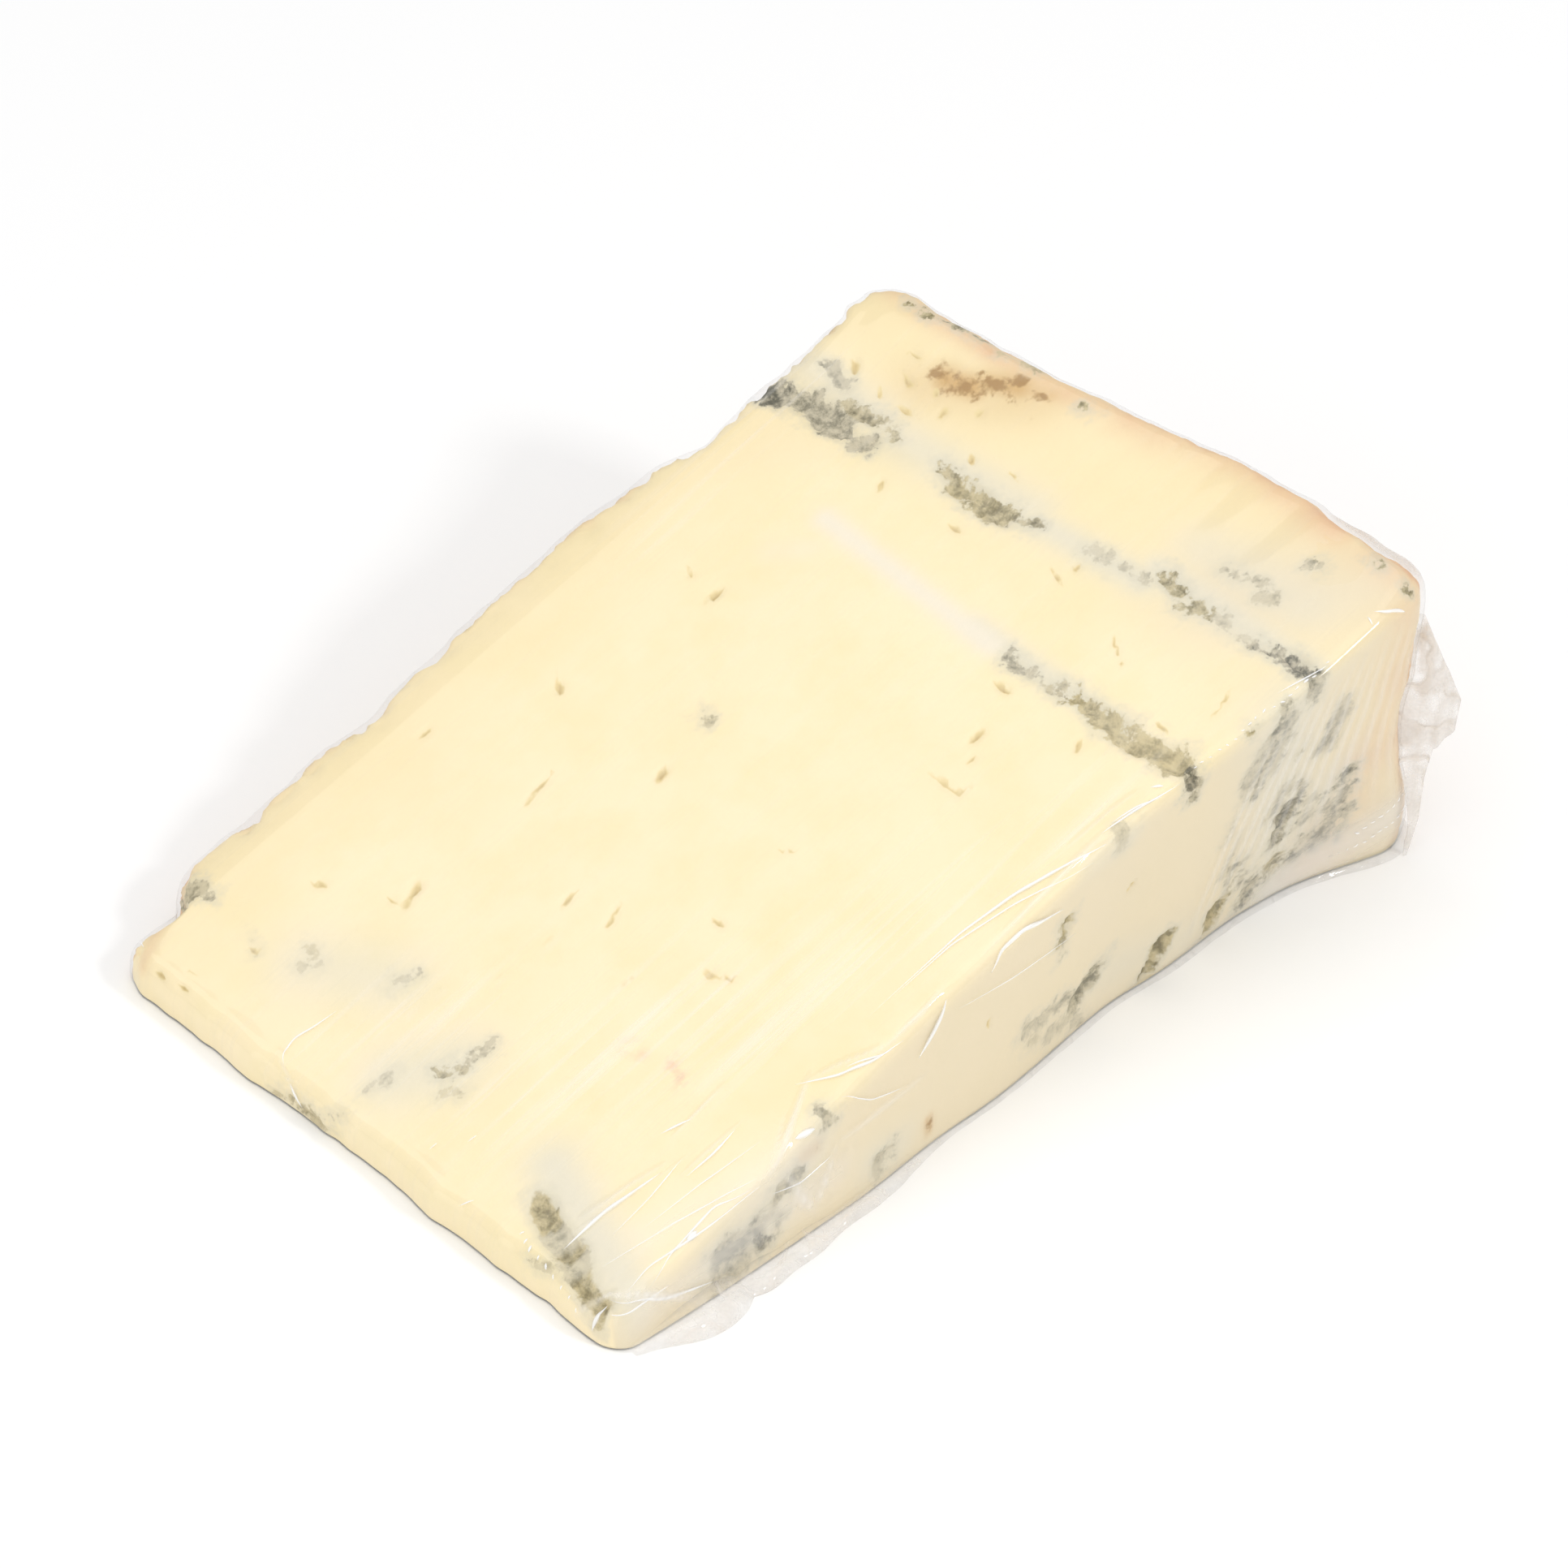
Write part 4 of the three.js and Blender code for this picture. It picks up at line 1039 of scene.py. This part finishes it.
# like the wrap, it passes the light on
film_ridges.visible_shadow = False
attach(film_ridges, "root")
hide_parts("cling_film")


# Spare film is gathered under the wedge in crumpled layers, and its rim stands out round the foot
# as a low hem of pleats, widest where the middle cut nears the tip.
FILM_THICK = 0.1
RIM_INSIDE = 0.6
RIM_STATIONS = 1400
RIM_PLEATS = 93
# the height, as a share of the wedge's, at which its foot is followed
RIM_LEVEL = 0.04
# where spare film stands out from the foot: X, Y, width and how far it spreads along the foot
GATHERS = [
    (13, -50, 4.4, 7),
    (28, -50, 3.4, 10),
    (46, -49, 2.0, 10),
    (146, -44, 0.9, 8),
    (147, -10, 1.4, 20),
    (143, 46, 3.0, 8),
    (80, 50, 1.6, 40),
]
WHOLE_WAY = 2 * REACH + 4 * HALF_DEPTH
way = np.arange(RIM_STATIONS) / RIM_STATIONS * WHOLE_WAY
turns = np.cumsum([0, REACH, 2 * HALF_DEPTH, REACH, 2 * HALF_DEPTH])
rim_s = np.interp(way, turns, [0, 1, 1, 0, 0])
rim_t = np.interp(way, turns, [0, 0, 1, 1, 0])
foot, _ = wedge_skin(rim_s, rim_t, np.full(RIM_STATIONS, RIM_LEVEL), notches=())
ahead = np.roll(foot, -1, 0) - np.roll(foot, 1, 0)
rim_out = np.stack([ahead[:, 1], -ahead[:, 0], 0 * way], -1)
rim_out /= np.linalg.norm(rim_out, axis=-1, keepdims=True)

beside = way / WHOLE_WAY * RIM_PLEATS
pleat = np.abs(noise(beside, 4.5, 0.5))
fold = np.abs(noise(beside + 9.5, 7.5, 0.5))
wide = np.where(foot[:, 0] < 3, 0.05, 0.4 + 0.5 * smooth(-foot[:, 1], 20, 40))
for x, y, most, spread in GATHERS:
    wide = wide + most * np.exp(-((foot[:, 0] - x) ** 2 + (foot[:, 1] - y) ** 2) / spread**2)
wide = wide * (0.8 + 0.4 * fold)
rim_rise = 0.04 + 0.42 * wide


def rim_ring(away, z, crumple=0.0, seed=0.5):
    """One line of the rim all the way round, at a way out from the foot and a height."""
    fine = noise(way / 1.7, seed, away / 1.1 + 0.5) + 0.6 * noise(way / 0.7, seed + 3, away / 0.6 + 0.5)
    ring = foot + rim_out * (away + 0.5 * crumple * fine)[:, None]
    ring[:, 2] = np.maximum(z + crumple * fine, 0)
    return ring


inner_top = FILM_THICK + rim_rise * (1.1 + 0.8 * fold)
wall_share = inner_top / cut_height(rim_s * REACH)
wall, _ = wedge_skin(rim_s, rim_t, np.clip(wall_share, RIM_LEVEL, 0.5), notches=())
lean = np.clip(((wall - foot) * rim_out).sum(1), 0, None)
lean = (lean + 0.27) * smooth(wide, 0.05, 0.5)
ruffle = np.minimum(0.3 * wide, 0.1 + 0.05 * wide)
rings = [
    rim_ring(-RIM_INSIDE + 0 * wide, 0 * wide),
    rim_ring(wide, 0 * wide, 0.02),
    rim_ring(wide + 0.02, rim_rise * (0.1 + 0.3 * pleat), ruffle, 1.5),
    rim_ring(0.86 * wide, rim_rise * (0.3 + 0.9 * pleat), ruffle, 2.5),
    rim_ring(0.7 * wide, FILM_THICK + rim_rise * (0.4 + pleat), ruffle, 3.5),
    rim_ring(0.54 * wide, FILM_THICK + rim_rise * (0.5 + 0.9 * pleat), ruffle, 4.5),
    rim_ring(
        0.36 * wide + 0.3 * lean, FILM_THICK + rim_rise * (0.6 + 0.3 * pleat + 0.4 * fold), ruffle, 5.5
    ),
    rim_ring(lean, inner_top),
    rim_ring(-RIM_INSIDE + 0 * wide, FILM_THICK + 0 * wide),
]
count = len(rings)
number = np.arange(count * RIM_STATIONS).reshape(count, RIM_STATIONS)
after = np.roll(number, -1, 1)
rim_faces = [
    face
    for k in range(count - 1)
    for face in np.stack([number[k], after[k], after[k + 1], number[k + 1]], -1).tolist()
]
rim_faces += [number[0, ::-1].tolist(), number[-1].tolist()]
# how milky each line of the rim is, from under the wedge to its outer edge and back over the top
near_foot = np.array([0.0, 0.04, 0.12, 0.15, 0.17, 0.18, 0.16, 0.05, 0.0])
film_rim = make_piece(
    "film_rim",
    np.concatenate(rings),
    rim_faces,
    layers=(near_foot[:, None] * (0.5 * smooth(wide, 0.1, 1.8) + 0.35 * wide)).ravel(),
)

# Crumpled film in several layers: each fold scatters a little more light, so the hem is milky and the
# cream still shows through it.
# Its greyish tint is painted shade, for the darker surroundings that clear film reflects, and its
# sparkling facets are partly painted highlights along crisp wrinkles.
gathered_film, tree = new_material("crumpled_polyethylene_film")
mm, told = read_piece(tree, "layers")
crumples = add_node(tree, "TexNoise", {"Vector": mm, "Scale": 0.3, "Detail": 3.0})
crumples = add_node(tree, "MapRange", {0: crumples, 1: 0.35, 2: 0.65, 3: 0.3, 4: 1.7})
# crisp wrinkles, 4 to 8 mm apart: the lines along which a coarse noise passes its middle; their whiter
# haze is partly a painted highlight
wrinkle_lines_and_painted_glints = add_node(tree, "TexNoise", {"Vector": mm, "Scale": 0.12, "Detail": 1.5})
wrinkle_lines_and_painted_glints = add_node(tree, "Math", {0: wrinkle_lines_and_painted_glints, 1: 0.5}, operation="SUBTRACT")
wrinkle_lines_and_painted_glints = add_node(tree, "Math", {0: wrinkle_lines_and_painted_glints}, operation="ABSOLUTE")
wrinkle_lines_and_painted_glints = add_node(tree, "MapRange", {0: wrinkle_lines_and_painted_glints, 1: 0.0, 2: 0.03, 3: 1.5, 4: 0.0})
crumples = add_node(tree, "Math", {0: crumples, 1: wrinkle_lines_and_painted_glints}, operation="ADD")
haze = add_node(tree, "Math", {0: told["layers"], 1: crumples}, operation="MULTIPLY", use_clamp=True)
# the grey in this milky white is painted shade
lit = add_node(tree, "BsdfDiffuse", {"Color": colour("#EFE9E2")})
glowing = add_node(tree, "BsdfTranslucent", {"Color": colour("#EFE9E2")})
milky = add_node(tree, "MixShader", {0: 0.2, 1: lit, 2: glowing})
finish_film(tree, haze, milky, 0.04, 0.14)
film_rim.data.materials.append(gathered_film)
# like the wrap, it passes the light on
film_rim.visible_shadow = False
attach(film_rim, "root")
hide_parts("cling_film")


# The dog-ear: film that was pulled round the heel's corner and left standing as a limp double
# sheet, pleated from top to bottom. It hangs on the wrap by its inner edge.
EAR_HEIGHT = 41.0
EAR_THICK = 0.35
# how far it stands past the corner, by its height over the floor
EAR_HEIGHTS = [0, 6, 13, 18.5, 21.5, 27, 33, EAR_HEIGHT]
EAR_REACHES = [1.6, 2.8, 3.0, 3.6, 6.3, 6.6, 4.0, 0.6]
EAR_ROOT = np.array([137.4, -38.8, 0.0])
EAR_OUT = np.array([0.8, -0.6, 0.0])
EAR_SIDE = np.array([0.6, 0.8, 0.0])
ROOT_TO_CORNER = 12.0

(ear_s, ear_t, ear_h), ear_quads = box_grid(
    [np.linspace(0, 1, 31), np.array([0.0, 1.0]), np.linspace(0, 1, 121)]
)
ear_z = ear_h * EAR_HEIGHT
ear_reach = np.interp(ear_z, EAR_HEIGHTS, EAR_REACHES)
beside_ear = np.clip((ear_z - FOOT) / cut_height(REACH), 0.02, 0.9)
corner, _ = wedge_skin(np.ones(ear_z.size), 0 * ear_z, beside_ear, notches=())
start = ((corner - EAR_ROOT) @ EAR_OUT) - 0.4
away = start + ear_s * (ROOT_TO_CORNER + ear_reach - start)
outward_share = away / (ROOT_TO_CORNER + ear_reach)
pleated = 1.1 * outward_share * noise(away / 2.4, 0.5, ear_z / 16)
pleated += 0.5 * outward_share * noise(away / 1.0, 3.5, ear_z / 22)
pleated += 0.4 * outward_share * noise(0.5, 9.5, ear_z / 7)
sideways = pleated + (ear_t - 0.5) * EAR_THICK
ear_places = EAR_ROOT + away[:, None] * EAR_OUT + sideways[:, None] * EAR_SIDE
ear_places[:, 2] = ear_z
ear_layers = 0.34 + 0.16 * noise(away / 1.4, 3.5, ear_z / 16) + 0.08 * noise(away / 0.8, 9.5, ear_z / 5)
film_ear = make_piece("film_ear", ear_places, ear_quads.tolist(), layers=ear_layers)
film_ear.data.materials.append(gathered_film)
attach(film_ear, "root")
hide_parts("cling_film")


# A plain white floor, and the soft light of a white studio: a wide sheet overhead, a small bright
# one to the right of the camera that flashes in the film's creases, and one before the tip.
FLOOR_CORNERS = [(-3.0, -3.0), (3.0, -3.0), (3.0, 3.0), (-3.0, 3.0)]
FLOOR_DOWN = -0.05 * MM
floor_mesh = bpy.data.meshes.new("floor")
floor_corners = [(x, y, FLOOR_DOWN) for x, y in FLOOR_CORNERS]
floor_mesh.from_pydata(floor_corners, [], [(0, 1, 2, 3)])
floor = bpy.data.objects.new("floor", floor_mesh)
bpy.context.collection.objects.link(floor)
white_card, tree = new_material("white_card")
add_node(tree, "OutputMaterial", {0: add_node(tree, "BsdfDiffuse", {"Color": colour("#FCFCFC")})})
floor.data.materials.append(white_card)


def add_light(name, toward, away, size, watts):
    data = bpy.data.lights.new(name, "AREA")
    data.shape = "RECTANGLE"
    data.size, data.size_y = size
    data.energy = watts
    light = bpy.data.objects.new(name, data)
    direction = Vector(toward).normalized()
    light.location = Vector(VIEW_TARGET * MM) + direction * away
    light.rotation_euler = direction.to_track_quat("Z", "Y").to_euler()
    bpy.context.collection.objects.link(light)


add_light("sheet_overhead", (-0.1, 0.1, 1.0), 1.4, (1.6, 1.6), 7.5)
add_light("sheet_beside", (0.27, -0.71, 0.66), 0.8, (0.13, 0.09), 1.3)
add_light("sheet_before", (-1.0, -0.2, 0.25), 1.2, (2.0, 1.2), 4.4)

world = bpy.data.worlds.new("studio")
bpy.context.scene.world = world
world.use_nodes = True
world.node_tree.nodes.clear()
sky = add_node(world.node_tree, "Background", {"Color": colour("#FFFFFF"), "Strength": 0.63})
add_node(world.node_tree, "OutputWorld", {0: sky})
bpy.context.scene.view_settings.view_transform = "Standard"
